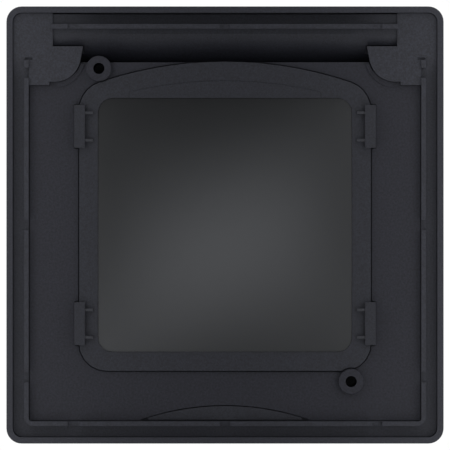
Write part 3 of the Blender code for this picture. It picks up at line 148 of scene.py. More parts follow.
# A plain finish with a fine noise in tone, gloss and height.
def plainFinish(name, look):
    material, tree, shader, place = newMaterial(name)
    fine = noise(tree, place, look["grain"], 3.0)
    colour = mixColour(tree, between(tree, fine, 0, 1), hexColour(look["dark"]), hexColour(look["light"]))
    tree.links.new(colour, shader.inputs["Base Color"])
    wanderGloss(tree, shader, fine, look["roughness"], 0.05)
    shader.inputs["Metallic"].default_value = look.get("metallic", 0.0)
    shader.inputs["Transmission Weight"].default_value = look.get("transmission", 0.0)
    tree.links.new(bump(tree, fine, look["relief"]), shader.inputs["Normal"])
    return material


# Solder mask over laminate, paler where copper tracks run under it.
def circuitBoard(name, look):
    material, tree, shader, place = newMaterial(name)
    cells = addNode(tree, "ShaderNodeTexVoronoi", {"feature": "F1", "distance": "CHEBYCHEV"},
                    {"Vector": place, "Scale": 1 / look["trackCell"]}).outputs["Distance"]
    rings = addNode(tree, "ShaderNodeMath", {"operation": "PINGPONG"}, {0: cells, 1: look["trackPitch"]})
    edge = look["trackPitch"] / 2
    track = between(tree, rings.outputs[0], 0, 1, edge * 0.8, edge * 1.2)
    colour = mixColour(tree, track, hexColour(look["dark"]), hexColour(look["light"]))
    tree.links.new(colour, shader.inputs["Base Color"])
    shader.inputs["Roughness"].default_value = look["roughness"]
    shader.inputs["Coat Weight"].default_value = look["coat"]
    tree.links.new(bump(tree, track, look["relief"]), shader.inputs["Normal"])
    return material


materials = {
    # the dark blue-grey skin of the cover, ribs and button, with a fine matt sparkle
    "moulded_plastic": grainedPlastic("Anthracite PC-ABS, spark-eroded grain", {
        "dark": "#1e1f26", "light": "#343641", "roughness": 0.62, "grain": 0.26 * mm, "relief": 0.010 * mm}),
    # the same plastic darker and duller; its darker tone is painted shade, so the plate looks sunk back from
    # the ribs
    "painted_shade_plate_plastic": grainedPlastic("Anthracite PC-ABS, coarser grain on the plate", {
        "dark": "#16171f", "light": "#2a2b37", "roughness": 0.66, "grain": 0.30 * mm, "relief": 0.012 * mm}),
    # a tone between, darker than the rim as painted shade, for the window frame, scoop and button guide
    "painted_shade_ring_plastic": grainedPlastic("Anthracite PC-ABS, fine grain on the window frame", {
        "dark": "#1b1c23", "light": "#2f313b", "roughness": 0.64, "grain": 0.24 * mm, "relief": 0.010 * mm}),
    # rubbed tops that catch the light beside each tower
    "burnished_plastic": grainedPlastic("Anthracite PC-ABS, rubbed smooth", {
        "dark": "#1b1c22", "light": "#2d2f38", "roughness": 0.40, "grain": 0.24 * mm, "relief": 0.004 * mm}),
    # neutral black, for what is only seen through a gap
    "inner_plastic": grainedPlastic("Black PC-ABS, bead-blasted tool", {
        "dark": "#1f2022", "light": "#27282a", "roughness": 0.55, "grain": 0.2 * mm, "relief": 0.006 * mm}),
    # smooth neutral grey with one soft patch of light
    "satin_plate": paintedMetal("Grey satin lacquer on die-cast zinc", {
        "dark": "#1a1b1c", "light": "#1c1d1e", "roughness": 0.25, "metallic": 0.0,
        "swing": 0.02, "grain": 0.15 * mm, "cloud": 9 * mm, "relief": 0.00005 * mm}),
    # dull, open black that swallows light
    "foam_gasket": plainFinish("Closed-cell foam rubber", {
        "dark": "#0c0c0c", "light": "#1a1a1a", "roughness": 0.85, "grain": 0.3 * mm, "relief": 0.04 * mm}),
    # pale matt metal with a soft shine along the fins
    "aluminium": plainFinish("Extruded aluminium, etched", {
        "dark": "#c4c6c8", "light": "#d6d8da", "roughness": 0.36, "metallic": 1.0,
        "grain": 0.4 * mm, "relief": 0.004 * mm}),
    # chalky blue-grey with no shine
    "thermal_silicone": plainFinish("Grey-blue silicone pad", {
        "dark": "#8d9cb0", "light": "#a0adbf", "roughness": 0.75, "grain": 0.5 * mm, "relief": 0.02 * mm}),
    # glossy green with nested tracks
    "board_laminate": circuitBoard("Green solder mask on laminate", {
        "dark": "#0d3520", "light": "#175c36", "roughness": 0.38, "trackCell": 9 * mm, "trackPitch": 0.06,
        "coat": 0.3, "relief": 0.02 * mm}),
    # black with a faint sheen and tiny pits
    "chip_epoxy": plainFinish("Black moulding epoxy", {
        "dark": "#17171a", "light": "#202024", "roughness": 0.5, "grain": 0.12 * mm, "relief": 0.004 * mm}),
    # warm silver with broad soft reflections
    "tinplate": plainFinish("Tin-plated steel", {
        "dark": "#c2c2bd", "light": "#d4d3cc", "roughness": 0.3, "metallic": 1.0,
        "grain": 0.8 * mm, "relief": 0.003 * mm}),
    # dull brown-black, grainy
    "ferrite": plainFinish("Sintered ferrite", {
        "dark": "#2e2c2a", "light": "#3b3936", "roughness": 0.7, "grain": 0.2 * mm, "relief": 0.02 * mm}),
    # bright yellow contacts
    "gold_plate": plainFinish("Gold-plated phosphor bronze", {
        "dark": "#d8b25a", "light": "#e6c26c", "roughness": 0.25, "metallic": 1.0,
        "grain": 0.3 * mm, "relief": 0.002 * mm}),
    # cool bright screws
    "zinc_steel": plainFinish("Zinc-plated steel", {
        "dark": "#b9bcc0", "light": "#cfd2d6", "roughness": 0.3, "metallic": 1.0,
        "grain": 0.3 * mm, "relief": 0.002 * mm}),
    # smooth black with a thin line of shine
    "lead_jacket": plainFinish("Black lead jacket", {
        "dark": "#161616", "light": "#202020", "roughness": 0.45, "grain": 0.2 * mm, "relief": 0.004 * mm}),
    # glassy, so the light shows through it
    "clear_plastic": plainFinish("Clear acrylic", {
        "dark": "#e4e8ec", "light": "#eef1f4", "roughness": 0.12, "transmission": 0.9,
        "grain": 0.5 * mm, "relief": 0.001 * mm}),
}


sharpAngle = 30  # degrees


# A linked object from a bmesh, faces outward, smooth between its sharp edges.
def showMesh(name, bm):
    bmesh.ops.recalc_face_normals(bm, faces=bm.faces)
    mesh = bpy.data.meshes.new(name)
    bm.to_mesh(mesh)
    bm.free()
    mesh.shade_smooth()
    mesh.set_sharp_from_angle(angle=math.radians(sharpAngle))
    piece = bpy.data.objects.new(name, mesh)
    bpy.context.scene.collection.objects.link(piece)
    return piece


# Points round a square with rounded corners, some of them along its sides.
def roundedSquare(half, radius, cornerSteps=8, sideSteps=12):
    straight = half - radius
    quarter = []
    for i in range(cornerSteps):
        a = math.radians(90 * i / cornerSteps)
        quarter.append((straight + radius * math.cos(a), straight + radius * math.sin(a)))
    for i in range(sideSteps):
        quarter.append((straight - 2 * straight * i / sideSteps, half))
    points = []
    for turn in ((1, 0), (0, 1), (-1, 0), (0, -1)):
        points += [(x * turn[0] - z * turn[1], x * turn[1] + z * turn[0]) for x, z in quarter]
    return points


# Bridges rings of points and caps both ends.
def loft(name, rings):
    bm = bmesh.new()
    loops = [[bm.verts.new(p) for p in ring] for ring in rings]
    for first, second in zip(loops, loops[1:]):
        for i in range(len(first)):
            j = (i + 1) % len(first)
            bm.faces.new((first[i], first[j], second[j], second[i]))
    bm.faces.new(loops[0])
    bm.faces.new(loops[-1])
    return showMesh(name, bm)


# One ring per (half size, corner radius, y).
def squareRings(section):
    return [[(x, y, z) for x, z in roundedSquare(half, radius)] for half, radius, y in section]


# Rings of a smooth dome over a rounded square, standing rise out of the plane y = edgeY.
def domeRings(half, radius, edgeY, rise, sizes):
    rings = []
    for share in sizes:
        ring = []
        for x, z in roundedSquare(half * share, radius * share):
            lift = (1 - (x / half) ** 2) * (1 - (z / half) ** 2)
            ring.append((x, edgeY + rise * lift, z))
        rings.append(ring)
    return rings


# From just inside 1 down to nearly 0.
def shares(count):
    return [1 - i / count for i in range(1, count)] + [0.3 / count]


# A section of (radius, distance along the axis) turned about that axis.
def turned(name, section, axis, cu, cv, steps=32):
    rings = []
    for radius, along in section:
        ring = []
        for i in range(steps):
            a = 2 * math.pi * i / steps
            u, v = cu + radius * math.cos(a), cv + radius * math.sin(a)
            ring.append({"X": (along, u, v), "Y": (u, along, v), "Z": (u, v, along)}[axis])
        rings.append(ring)
    return loft(name, rings)


def boxPiece(name, low, high):
    rings = [[(low[0], y, low[2]), (high[0], y, low[2]), (high[0], y, high[2]), (low[0], y, high[2])]
             for y in (low[1], high[1])]
    return loft(name, rings)


# Bakes a piece's modifiers into its mesh.
def applied(piece):
    mesh = bpy.data.meshes.new_from_object(piece.evaluated_get(bpy.context.evaluated_depsgraph_get()))
    piece.modifiers.clear()
    piece.data = mesh
    return piece


# Cuts the tools out of a piece, or joins them to it, and throws them away.
def carve(piece, *tools, operation="DIFFERENCE"):
    for tool in tools:
        modifier = piece.modifiers.new("carve", "BOOLEAN")
        modifier.operation = operation
        modifier.object = tool
    applied(piece)
    for tool in tools:
        bpy.data.objects.remove(tool)
    return piece


# Rounds a piece's edges and keeps its large faces flat.
def softenEdges(piece, width, segments=2):
    if width:
        modifier = piece.modifiers.new("edges", "BEVEL")
        modifier.width = width
        modifier.segments = segments
        modifier.limit_method = "ANGLE"
        modifier.angle_limit = math.radians(sharpAngle)
    weighted = piece.modifiers.new("normals", "WEIGHTED_NORMAL")
    weighted.keep_sharp = True
    return applied(piece)


merge = {"distance": 0.002 * mm, "angle": 0.6}  # the angle is in degrees


# A merged copy of a CAD node.
def cadCopy(node, change=None):
    bm = bmesh.new()
    bm.from_mesh(frame["nodes"][node].data)
    bmesh.ops.remove_doubles(bm, verts=bm.verts, dist=merge["distance"])
    bmesh.ops.dissolve_limit(bm, angle_limit=math.radians(merge["angle"]), verts=bm.verts, edges=bm.edges)
    if change:
        change(bm, node)
    return showMesh(node + "_look", bm)


# A geometry node group with one output and the named inputs: (name, socket type, value).
def newGroup(name, inputs):
    group = bpy.data.node_groups.new(name, "GeometryNodeTree")
    group.interface.new_socket("Geometry", in_out="OUTPUT", socket_type="NodeSocketGeometry")
    for label, kind, value in inputs:
        socket = group.interface.new_socket(label, in_out="INPUT", socket_type=kind)
        if value is not None:
            socket.default_value = value
    start = group.nodes.new("NodeGroupInput")
    end = group.nodes.new("NodeGroupOutput")
    return group, start, end


# Repeats a unit mesh along a straight line.
def rowGroup():
    group, start, end = newGroup("Row of units", [
        ("Unit", "NodeSocketObject", None), ("Count", "NodeSocketInt", 1),
        ("First", "NodeSocketVector", None), ("Step", "NodeSocketVector", None),
        ("Material", "NodeSocketMaterial", None)])
    line = addNode(group, "GeometryNodeMeshLine", {"mode": "OFFSET"}, {
        "Count": start.outputs["Count"], "Start Location": start.outputs["First"],
        "Offset": start.outputs["Step"]})
    unit = addNode(group, "GeometryNodeObjectInfo", None, {"Object": start.outputs["Unit"]})
    copies = addNode(group, "GeometryNodeInstanceOnPoints", None, {
        "Points": line.outputs["Mesh"], "Instance": unit.outputs["Geometry"]})
    real = addNode(group, "GeometryNodeRealizeInstances", None, {"Geometry": copies.outputs["Instances"]})
    coated = addNode(group, "GeometryNodeSetMaterial", None, {
        "Geometry": real.outputs["Geometry"], "Material": start.outputs["Material"]})
    group.links.new(coated.outputs["Geometry"], end.inputs[0])
    return group


unitRow = rowGroup()


# A plain mesh of count copies of unit, from first, step apart. The unit is thrown away.
def row(name, unit, count, first, step, material=None):
    holder = bpy.data.objects.new(name, bpy.data.meshes.new(name))
    bpy.context.scene.collection.objects.link(holder)
    modifier = holder.modifiers.new("row", "NODES")
    modifier.node_group = unitRow
    values = {"Unit": unit, "Count": count, "First": first, "Step": step, "Material": material}
    for item in unitRow.interface.items_tree:
        if item.in_out == "INPUT" and values[item.name] is not None:
            modifier[item.identifier] = values[item.name]
    applied(holder)
    bpy.data.objects.remove(unit)
    return holder


# Each CAD node's material slot and body, and the nodes with a finish of their own
slotOf = {part["node"]: part["material_slot"] for part in frame["record"]["subparts"]}
bodyOf = {n: b for b, ns in frame["record"]["behaviour"]["bodies"].items() for n in ns}
# the plate, window frame, scoop and button guide take the darker plastics, whose darkness is painted shade
ownFinish = {"rear_plate": "painted_shade_plate_plastic", "window_frame": "painted_shade_ring_plastic", "button_guide": "painted_shade_ring_plastic",
             "cable_scoop": "painted_shade_ring_plastic"}


# Gives a finished piece its material and body and lets it stand for its CAD nodes.
def settle(piece, *nodes, extra=()):
    slot = slotOf[nodes[0]]
    piece.data.materials.clear()
    for entry in (ownFinish.get(nodes[0], slot), *extra):
        piece.data.materials.append(materials[entry])
    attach(piece, bodyOf[nodes[0]])
    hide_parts(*nodes)
    return piece


made = set()


# Settles a piece that has a shape of its own.
def ready(piece, *nodes, extra=()):
    made.update(nodes)
    return settle(piece, *nodes, extra=extra)


# Front cover: its shell, with a stepped wall and a slightly crowned front
cover = {"wall": 1.73 * mm, "step": 1.27 * mm, "stepDepth": 6.8 * mm, "corner": 4.2 * mm,
         "smallestCorner": 0.5 * mm, "frontRound": 3.6 * mm, "frontWall": 2.0 * mm, "crown": 0.6 * mm,
         "crownRings": 16, "rimRound": 0.08 * mm, "innerSteps": 8, "rimSteps": 3, "frontSteps": 12,
         "sharp": 35}
vents = {"count": 19, "pitch": 4.5 * mm, "width": 1.8 * mm, "length": 8.0 * mm, "middleY": 25.0 * mm,
         "flare": 0.25 * mm}
# Holes for the button, the reset pin and the light, and posts for the four tray screws
hole = {"buttonWidth": 5.6 * mm, "buttonLength": 14.6 * mm, "resetRadius": 0.9 * mm, "resetMouth": 1.2 * mm,
        "resetFlare": 0.3 * mm, "resetDepth": 4 * mm, "lensRadius": 1.7 * mm}
post = {"radius": 3.0 * mm, "bore": 1.2 * mm, "fromTray": 0.3 * mm, "intoWall": 0.7 * mm,
        "boreInWall": 0.3 * mm, "sides": 24, "boreSides": 16}


# The corner radius at a half width inside the skin, concentric with the skin's own.
def cornerFor(half):
    return max(cover["corner"] - (bodyHalf - half), cover["smallestCorner"])


# A slot outline in the XY plane about the origin, at height z.
def slotRing(width, length, z, steps=6):
    r = width / 2
    ring = []
    for centre, start in ((length / 2 - r, 0), (r - length / 2, 180)):
        for i in range(steps + 1):
            a = math.radians(start + 180 * i / steps)
            ring.append((r * math.cos(a), centre + r * math.sin(a), z))
    return ring


# A cutter for one slot through the top or bottom wall, a little wider at the skin.
def slotCutter(name, width, length, side, wall):
    flare = vents["flare"]
    skin = bodyHalf
    rings = [slotRing(width, length, side * (skin - wall - mm)),
             slotRing(width, length, side * (skin - flare)),
             slotRing(width + 2 * flare, length + 2 * flare, side * skin),
             slotRing(width + 2 * flare, length + 2 * flare, side * (skin + mm))]
    return loft(name, rings)


# Quarter-turn steps, from 0 to 90 degrees.
def quarterTurn(steps):
    return [math.radians(90 * i / steps) for i in range(steps + 1)]


# The middle of a CAD node's box.
def middle(node):
    low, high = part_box(node)
    return (low + high) / 2


# The shell's section from inside the front, round the rim, to the outer edge of the front.
def coverSection():
    inner = bodyHalf - cover["wall"]
    deep = inner - cover["step"]
    front = bodyDepth - cover["crown"]
    innerFront = bodyDepth - cover["frontWall"]
    innerRound = cover["frontRound"] - cover["frontWall"] / 2
    section = []
    for a in reversed(quarterTurn(cover["innerSteps"])):
        half = deep - innerRound * (1 - math.cos(a))
        section.append((half, cornerFor(half), innerFront - innerRound * (1 - math.sin(a))))
    for half, y in ((deep, cover["stepDepth"]), (inner, cover["stepDepth"])):
        section.append((half, cornerFor(half), y))
    r = cover["rimRound"]
    for a in quarterTurn(cover["rimSteps"]):
        section.append((inner + r * (1 - math.cos(a)), cornerFor(inner), r * (1 - math.sin(a))))
    for a in quarterTurn(cover["rimSteps"]):
        section.append((bodyHalf - r * (1 - math.sin(a)), cornerFor(bodyHalf), r * (1 - math.cos(a))))
    for a in quarterTurn(cover["frontSteps"]):
        half = bodyHalf - cover["frontRound"] * (1 - math.cos(a))
        section.append((half, cornerFor(half), front - cover["frontRound"] * (1 - math.sin(a))))
    return section


# One row of vent slots in each of the top and bottom walls.
def ventCutters(wall):
    first = (-(vents["count"] - 1) / 2 * vents["pitch"], vents["middleY"], 0)
    cutters = []
    for side in (1, -1):
        unit = slotCutter("vent_unit", vents["width"], vents["length"], side, wall)
        cutters.append(row("vents", unit, vents["count"], first, (vents["pitch"], 0, 0)))
    return cutters


# The button's slot, the reset pinhole and the hole for the light.
def holeCutters(wall):
    innerFront = bodyDepth - cover["frontWall"]
    buttonY = middle("pair_switch_plunger").y
    button = slotCutter("button_hole", hole["buttonWidth"], hole["buttonLength"], -1, wall)
    button.data.transform(Matrix.Translation((0, buttonY, 0)) @ Matrix.Rotation(math.radians(90), 4, "Z"))
    skin = -bodyHalf
    section = [(hole["resetRadius"], skin + hole["resetDepth"]),
               (hole["resetRadius"], skin + hole["resetFlare"]),
               (hole["resetMouth"], skin), (hole["resetMouth"], skin - mm)]
    pin = turned("reset_hole", section, "Z", middle("reset_switch_plunger").x, buttonY)
    section = [(hole["lensRadius"], innerFront - mm), (hole["lensRadius"], bodyDepth + mm)]
    lens = turned("lens_hole", section, "Y", 0, middle("light_pipe").z)
    return [button, pin, lens]


# A bored post on the inside of the front for one tray screw.
def trayPost(number):
    innerFront = bodyDepth - cover["frontWall"]
    place = middle(f"tray_screw_{number}")
    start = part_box("board_tray")[1].y + post["fromTray"]
    section = [(post["radius"], start), (post["radius"], innerFront + post["intoWall"])]
    body = turned(f"post_{number}", section, "Y", place.x, place.z, post["sides"])
    section = [(post["bore"], start - mm), (post["bore"], innerFront + post["boreInWall"])]
    return carve(body, turned("bore", section, "Y", place.x, place.z, post["boreSides"]))


def makeCover():
    flat = bodyHalf - cover["frontRound"]
    rings = squareRings(coverSection())
    rings += domeRings(flat, cornerFor(flat), bodyDepth - cover["crown"], cover["crown"],
                       shares(cover["crownRings"]))
    shell = loft("front_cover_shell", rings)
    wall = cover["wall"] + cover["step"]
    carve(shell, *ventCutters(wall), *holeCutters(wall))
    carve(shell, *[trayPost(number) for number in range(1, 5)], operation="UNION")
    shell.data.set_sharp_from_angle(angle=math.radians(cover["sharp"]))
    ready(softenEdges(shell, 0), "front_cover")


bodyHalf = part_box("front_cover")[1].x
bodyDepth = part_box("front_cover")[1].y + 0.006 * mm  # the faceted CAD crown stops short
makeCover()
print("cover made")

# Heat plate: a low satin dome that fills the window, on a flange behind the window frame
plate = {"flange": 2.32 * mm, "corner": 3.9 * mm, "roll": 0.06 * mm, "rollSteps": 4, "flangeCorner": 6.3 * mm,
         "flangeThick": 1.2 * mm, "fall": 1.05 * mm, "bend": 0.55, "rings": 24}


# How far the plate lies behind its crest; its corners lie deeper than its sides.
def crownDepth(u, v):
    bend = plate["bend"]
    return plate["fall"] / bend * (1 - (1 - bend * u * u) * (1 - bend * v * v))


def makeHeatPlate():
    low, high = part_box("heat_plate")
    half = high.x - plate["flange"]
    front = high.y - plate["flangeThick"]
    section = [(high.x, plate["flangeCorner"], high.y), (high.x, plate["flangeCorner"], front),
               (half, plate["corner"], front)]
    r = plate["roll"]
    rings = squareRings(section)

    def domeRing(side, corner, behind):
        return [(x, low.y + crownDepth(x / half, z / half) + behind, z)
                for x, z in roundedSquare(side, corner)]

    for a in quarterTurn(plate["rollSteps"]):
        rings.append(domeRing(half - r * (1 - math.cos(a)), plate["corner"], r * (1 - math.sin(a))))
    for share in shares(plate["rings"]):
        rings.append(domeRing((half - r) * share, (plate["corner"] - r) * share, 0))
    dome = loft("heat_plate_dome", rings)
    ready(softenEdges(dome, 0), "heat_plate")


makeHeatPlate()
print("heat plate made")


# Cuts a cross of two slots into the face of a turned piece at y = lowY, then settles it.
def crossCut(body, node, centre, lowY, arm, reach, depth):
    tools = []
    for halfX, halfZ in ((arm, reach), (reach, arm)):
        tools.append(boxPiece("cross", (centre.x - halfX, lowY - mm, centre.z - halfZ),
                              (centre.x + halfX, lowY + depth, centre.z + halfZ)))
    ready(softenEdges(carve(body, *tools), 0), node)


# Screws: pan heads with a cross recess and a rolled thread
screw = {"headHeight": 1.2 * mm, "headTop": 0.15, "headFlat": 0.62, "headBulge": 0.38, "headDrop": 0.6,
         "shank": 0.86 * mm, "root": 0.68 * mm, "pitch": 0.7 * mm, "sides": 24, "headSteps": 6,
         "crossWidth": 0.5 * mm, "crossDepth": 0.7 * mm, "crossReach": 1.05 * mm}
thread = ((0, "root"), (0.4, "shank"), (0.5, "shank"), (0.9, "root"))  # share of the pitch, radius


def makeScrew(node):
    low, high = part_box(node)
    centre, radius = middle(node), (high.x - low.x) / 2
    seat = low.y + screw["headHeight"]
    section = [(radius * screw["headTop"], low.y)]
    for a in quarterTurn(screw["headSteps"]):
        width = radius * (screw["headFlat"] + screw["headBulge"] * math.sin(a))
        section.append((width, low.y + screw["headHeight"] * screw["headDrop"] * (1 - math.cos(a))))
    section += [(radius, seat), (screw["root"], seat)]
    along = seat + screw["pitch"] / 2
    while along < high.y - screw["pitch"]:
        section += [(screw[size], along + screw["pitch"] * share) for share, size in thread]
        along += screw["pitch"]
    section.append((screw["root"] / 2, high.y))
    body = turned(node + "_look", section, "Y", centre.x, centre.z, screw["sides"])
    crossCut(body, node, centre, low.y, screw["crossWidth"] / 2, screw["crossReach"], screw["crossDepth"])


for number in range(1, 5):
    makeScrew(f"board_screw_{number}")
    makeScrew(f"tray_screw_{number}")
print("screws made")

# Electrolytic capacitors: a rolled can with a vent cross stamped in its top
can = {"sides": 32, "neck": 0.4 * mm, "top": 0.8, "shoulder": 0.86, "shoulderSteps": 4, "waist": 0.07,
       "waistSteps": 6, "vent": 0.25 * mm, "ventReach": 0.6, "ventDepth": 0.12 * mm}


def makeCapacitor(node):
    low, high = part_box(node)
    centre, radius = middle(node), (high.x - low.x) / 2
    neck = can["neck"]
    section = [(radius * 0.1, low.y), (radius * can["top"], low.y)]
    for a in quarterTurn(can["shoulderSteps"]):
        width = radius * (can["shoulder"] + (1 - can["shoulder"]) * math.sin(a))
        section.append((width, low.y + neck * (1 - math.cos(a))))
    for i in range(can["waistSteps"] + 1):
        share = i / can["waistSteps"]
        dip = can["waist"] * math.sin(math.pi * share)
        section.append((radius * (1 - dip), high.y - neck * (3 - 2 * share)))
    section.append((radius, high.y))
    body = turned(node + "_look", section, "Y", centre.x, centre.z, can["sides"])
    crossCut(body, node, centre, low.y, can["vent"] / 2, radius * can["ventReach"], can["ventDepth"])


for number in (1, 2):
    makeCapacitor(f"capacitor_{number}")
print("capacitors made")

# Short ribs beside the window frame's towers
crushRib = {"y": 0.75 * mm, "near": 0.05 * mm, "facing": 0.9}
extraFinish = {"window_frame": ("burnished_plastic",)}


# Their tops are rubbed smooth.
def burnish(piece):
    for face in piece.data.polygons:
        top = abs(face.center.y - crushRib["y"]) < crushRib["near"]
        if top and face.normal.y < -crushRib["facing"]:
            face.material_index = 1


# Parting lines: how far the frame, the plate and the scoop reach into the CAD clearances
partLine = {"frameReach": 0.17 * mm, "scoopReach": 0.27 * mm, "rimReach": 0.2 * mm, "windowReach": 0.05 * mm,
            "near": 0.02 * mm, "rimX": 40.6 * mm, "rimZ": -53.4 * mm,
            "postX": 34.4 * mm, "postZ": 43.3 * mm, "postRadius": 3.6 * mm}
growth = {"wall": 0.7, "same": 0.999, "least": 0.5}  # what counts as a side wall, as one wall, as a corner


# Distance inside a rounded square and the direction straight out of it.
def outlineGap(x, z, half, radius):
    dx, dz = abs(x) - (half - radius), abs(z) - (half - radius)
    if dx > 0 and dz > 0:
        far = math.hypot(dx, dz)
        out = (dx / far, dz / far)
        gap = radius - far
    else:
        out = (1, 0) if dx > dz else (0, 1)
        gap = radius - max(dx, dz)
    return gap, math.copysign(out[0], x), math.copysign(out[1], z)


# Moves a piece's outer wall out until only a hair's width of parting line is left.
def closeLine(bm, node):
    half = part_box(node)[1].x
    radius = cornerFor(half)
    for vert in bm.verts:
        gap, outX, outZ = outlineGap(vert.co.x, vert.co.z, half, radius)
        if abs(gap) < partLine["near"]:
            vert.co.x += outX * partLine["frameReach"]
            vert.co.z += outZ * partLine["frameReach"]


# Moves the side walls out by reachAt(place), except round the kept (x, z, radius).
def grow(bm, reachAt, keep):
    shifts = {}
    for vert in bm.verts:
        if any(math.hypot(vert.co.x - x, vert.co.z - z) < radius for x, z, radius in keep):
            continue
        walls = []
        for face in vert.link_faces:
            side = Vector((face.normal.x, 0, face.normal.z))
            if side.length > growth["wall"]:
                side.normalize()
                if all(side.dot(other) < growth["same"] for other in walls):
                    walls.append(side)
        total = sum(walls, Vector())
        if total.length > growth["least"]:
            total.normalize()
            mitre = max(min(total.dot(wall) for wall in walls), growth["least"])
            shifts[vert] = total * reachAt(vert.co) / mitre
    for vert, shift in shifts.items():
        vert.co += shift


# The plate's rim nearly meets the frame and the towers; its window keeps a fine line.
def plateReach(place):
    rim = abs(place.x) > partLine["rimX"] or place.z < partLine["rimZ"]
    return partLine["rimReach"] if rim else partLine["windowReach"]


# Leaves only a hair's width of parting line round the rear plate.
def closePlate(bm, node):
    bmesh.ops.recalc_face_normals(bm, faces=bm.faces)
    x, z, radius = partLine["postX"], partLine["postZ"], partLine["postRadius"]
    posts = [(-x, z, radius), (x, -z, radius)]
    grow(bm, plateReach, posts)


# Brings the scoop's two ends up to the corner blocks.
def closeScoop(bm, node):
    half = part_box(node)[1].x
    for vert in bm.verts:
        if abs(abs(vert.co.x) - half) < partLine["near"]:
            vert.co.x += math.copysign(partLine["scoopReach"], vert.co.x)


# All other pieces: the CAD shape with its own change and edge rounding, in mm
changes = {"rear_frame": closeLine, "rear_plate": closePlate, "cable_scoop": closeScoop}
rounding = {"rear_frame": 0.05, "rear_plate": 0.06, "cable_scoop": 0.12, "button_guide": 0.12}
usualRounding = 0.08
for node in sorted(set(frame["nodes"]) - made):
    piece = softenEdges(cadCopy(node, changes.get(node)), rounding.get(node, usualRounding) * mm)
    settle(piece, node, extra=extraFinish.get(node, ()))
    if node == "window_frame":
        burnish(piece)
print("other pieces made")


def addLight(name, place, aim, width, height, power, colour="#ffffff"):
    light = bpy.data.lights.new(name, "AREA")
    light.shape = "RECTANGLE"
    light.size = width
    light.size_y = height
    light.energy = power
    light.color = hexColour(colour)[:3]
    lamp = bpy.data.objects.new(name, light)
    bpy.context.scene.collection.objects.link(lamp)
    lamp.location = place
    lamp.rotation_euler = (Vector(aim) - Vector(place)).to_track_quat("-Z", "Y").to_euler()
    return lamp


# A flat sheet of the stage, not of the object.
def flatSheet(name, corners, material):
    mesh = bpy.data.meshes.new(name)
    mesh.from_pydata(corners, [], [tuple(range(len(corners)))])
    mesh.materials.append(material)
    sheet = bpy.data.objects.new(name, mesh)
    bpy.context.scene.collection.objects.link(sheet)
    return sheet


# Plain paper with a glow of its own.
def paper(name, colour, glow):
    material, _, shader, _ = newMaterial(name)
    shader.inputs["Base Color"].default_value = hexColour(colour)
    shader.inputs["Roughness"].default_value = 0.9
    shader.inputs["Emission Color"].default_value = (1, 1, 1, 1)
    shader.inputs["Emission Strength"].default_value = glow
    return material


# The piece shows, but neither lights the object nor shades it.
def onlyForCamera(piece):
    piece.visible_diffuse = False
    piece.visible_glossy = False
    piece.visible_transmission = False
    piece.visible_shadow = False


# Lets a view from underneath see past the sheet.
def openBelow(material):
    tree = material.node_tree
    clear = addNode(tree, "ShaderNodeBsdfTransparent").outputs[0]
    behind = addNode(tree, "ShaderNodeNewGeometry").outputs["Backfacing"]
    both = addNode(tree, "ShaderNodeMixShader", None, {0: behind, 1: tree.nodes["Principled BSDF"].outputs[0],
                                                       2: clear})
    tree.links.new(both.outputs[0], tree.nodes["Material Output"].inputs["Surface"])
    return material


# Floor and backdrop
stageLook = {"floorZ": -0.15, "floorHalf": 3.0, "floorGlow": 0.72, "backdropRadius": 5.0}
corners = [(x * stageLook["floorHalf"], z * stageLook["floorHalf"], stageLook["floorZ"])
           for x, z in ((-1, -1), (1, -1), (1, 1), (-1, 1))]
floor = flatSheet("floor", corners, openBelow(paper("Pale floor paper", "#e4e4e4", stageLook["floorGlow"])))
floor.visible_diffuse = False
floor.visible_glossy = False
bm = bmesh.new()
bmesh.ops.create_icosphere(bm, subdivisions=3, radius=stageLook["backdropRadius"])
backdrop = showMesh("backdrop", bm)
backdrop.data.materials.append(paper("White backdrop", "#000000", 1.0))
onlyForCamera(backdrop)
print("stage made")

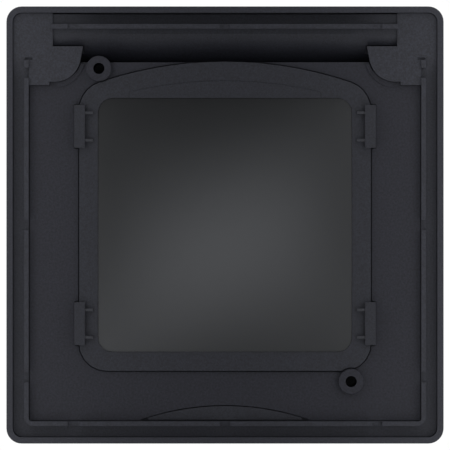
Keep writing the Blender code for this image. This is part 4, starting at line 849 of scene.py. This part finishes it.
# Lights: two tall banks beside the rear, a tilted soft key behind it and a room light on the front
lighting = {
    "bankOut": 80 * mm, "bankFront": 50 * mm, "bankWidth": 70 * mm, "bankHeight": 1.0, "bankPower": 0.143,
    "keyPlace": (0.0, -0.9, -0.030), "keyTurn": 25, "keySize": (0.27, 0.15), "keyPower": 0.435,
    "keyColour": "#f6f9ff", "roomPlace": (-0.8, 1.0, 0.8), "roomSize": 0.9, "roomPower": 26.0,
    "skyStrength": 0.415, "openingRise": 0.2, "openingInner": 18, "openingOuter": 34}  # in degrees
for side in (-1, 1):
    out = side * lighting["bankOut"]
    addLight(f"side_bank_{side}", (out, -lighting["bankFront"], 0), (out, 0.0, 0),
             lighting["bankWidth"], lighting["bankHeight"], lighting["bankPower"])
key = addLight("key", lighting["keyPlace"], (0, 0, 0), *lighting["keySize"], lighting["keyPower"],
               lighting["keyColour"])
key.rotation_euler.rotate_axis("Z", math.radians(lighting["keyTurn"]))
addLight("room", lighting["roomPlace"], (0, 0, 0), lighting["roomSize"], lighting["roomSize"],
         lighting["roomPower"])

# A soft sky all round, with a dark opening on the side the rear faces
world = bpy.data.worlds.new("Studio")
world.use_nodes = True
bpy.context.scene.world = world
sky = world.node_tree
sight = addNode(sky, "ShaderNodeTexCoord").outputs["Generated"]
axis = Vector((0, -1, lighting["openingRise"])).normalized()
toward = addNode(sky, "ShaderNodeVectorMath", {"operation": "DOT_PRODUCT"}, {0: sight, 1: tuple(axis)})
edges = [math.cos(math.radians(lighting[name])) for name in ("openingOuter", "openingInner")]
strength = between(sky, toward.outputs["Value"], lighting["skyStrength"], 0.0, *edges)
sky.links.new(strength, sky.nodes["Background"].inputs["Strength"])
sky.nodes["Background"].inputs["Color"].default_value = (1, 1, 1, 1)
print("lights made")

# Camera: square on to the rear through a long lens
view = {"width": 123.52 * mm, "lens": 600.0, "sensor": 36.0, "near": 0.05, "far": 20.0}
cameraData = bpy.data.cameras.new("camera")
cameraData.lens = view["lens"]
cameraData.sensor_width = view["sensor"]
cameraData.clip_start = view["near"]
cameraData.clip_end = view["far"]
camera = bpy.data.objects.new("camera", cameraData)
bpy.context.scene.collection.objects.link(camera)
camera.location = (0, -view["width"] / view["sensor"] * view["lens"], 0)
camera.rotation_euler = (math.radians(90), 0, 0)
bpy.context.scene.camera = camera
bpy.context.scene.view_settings.view_transform = "Standard"
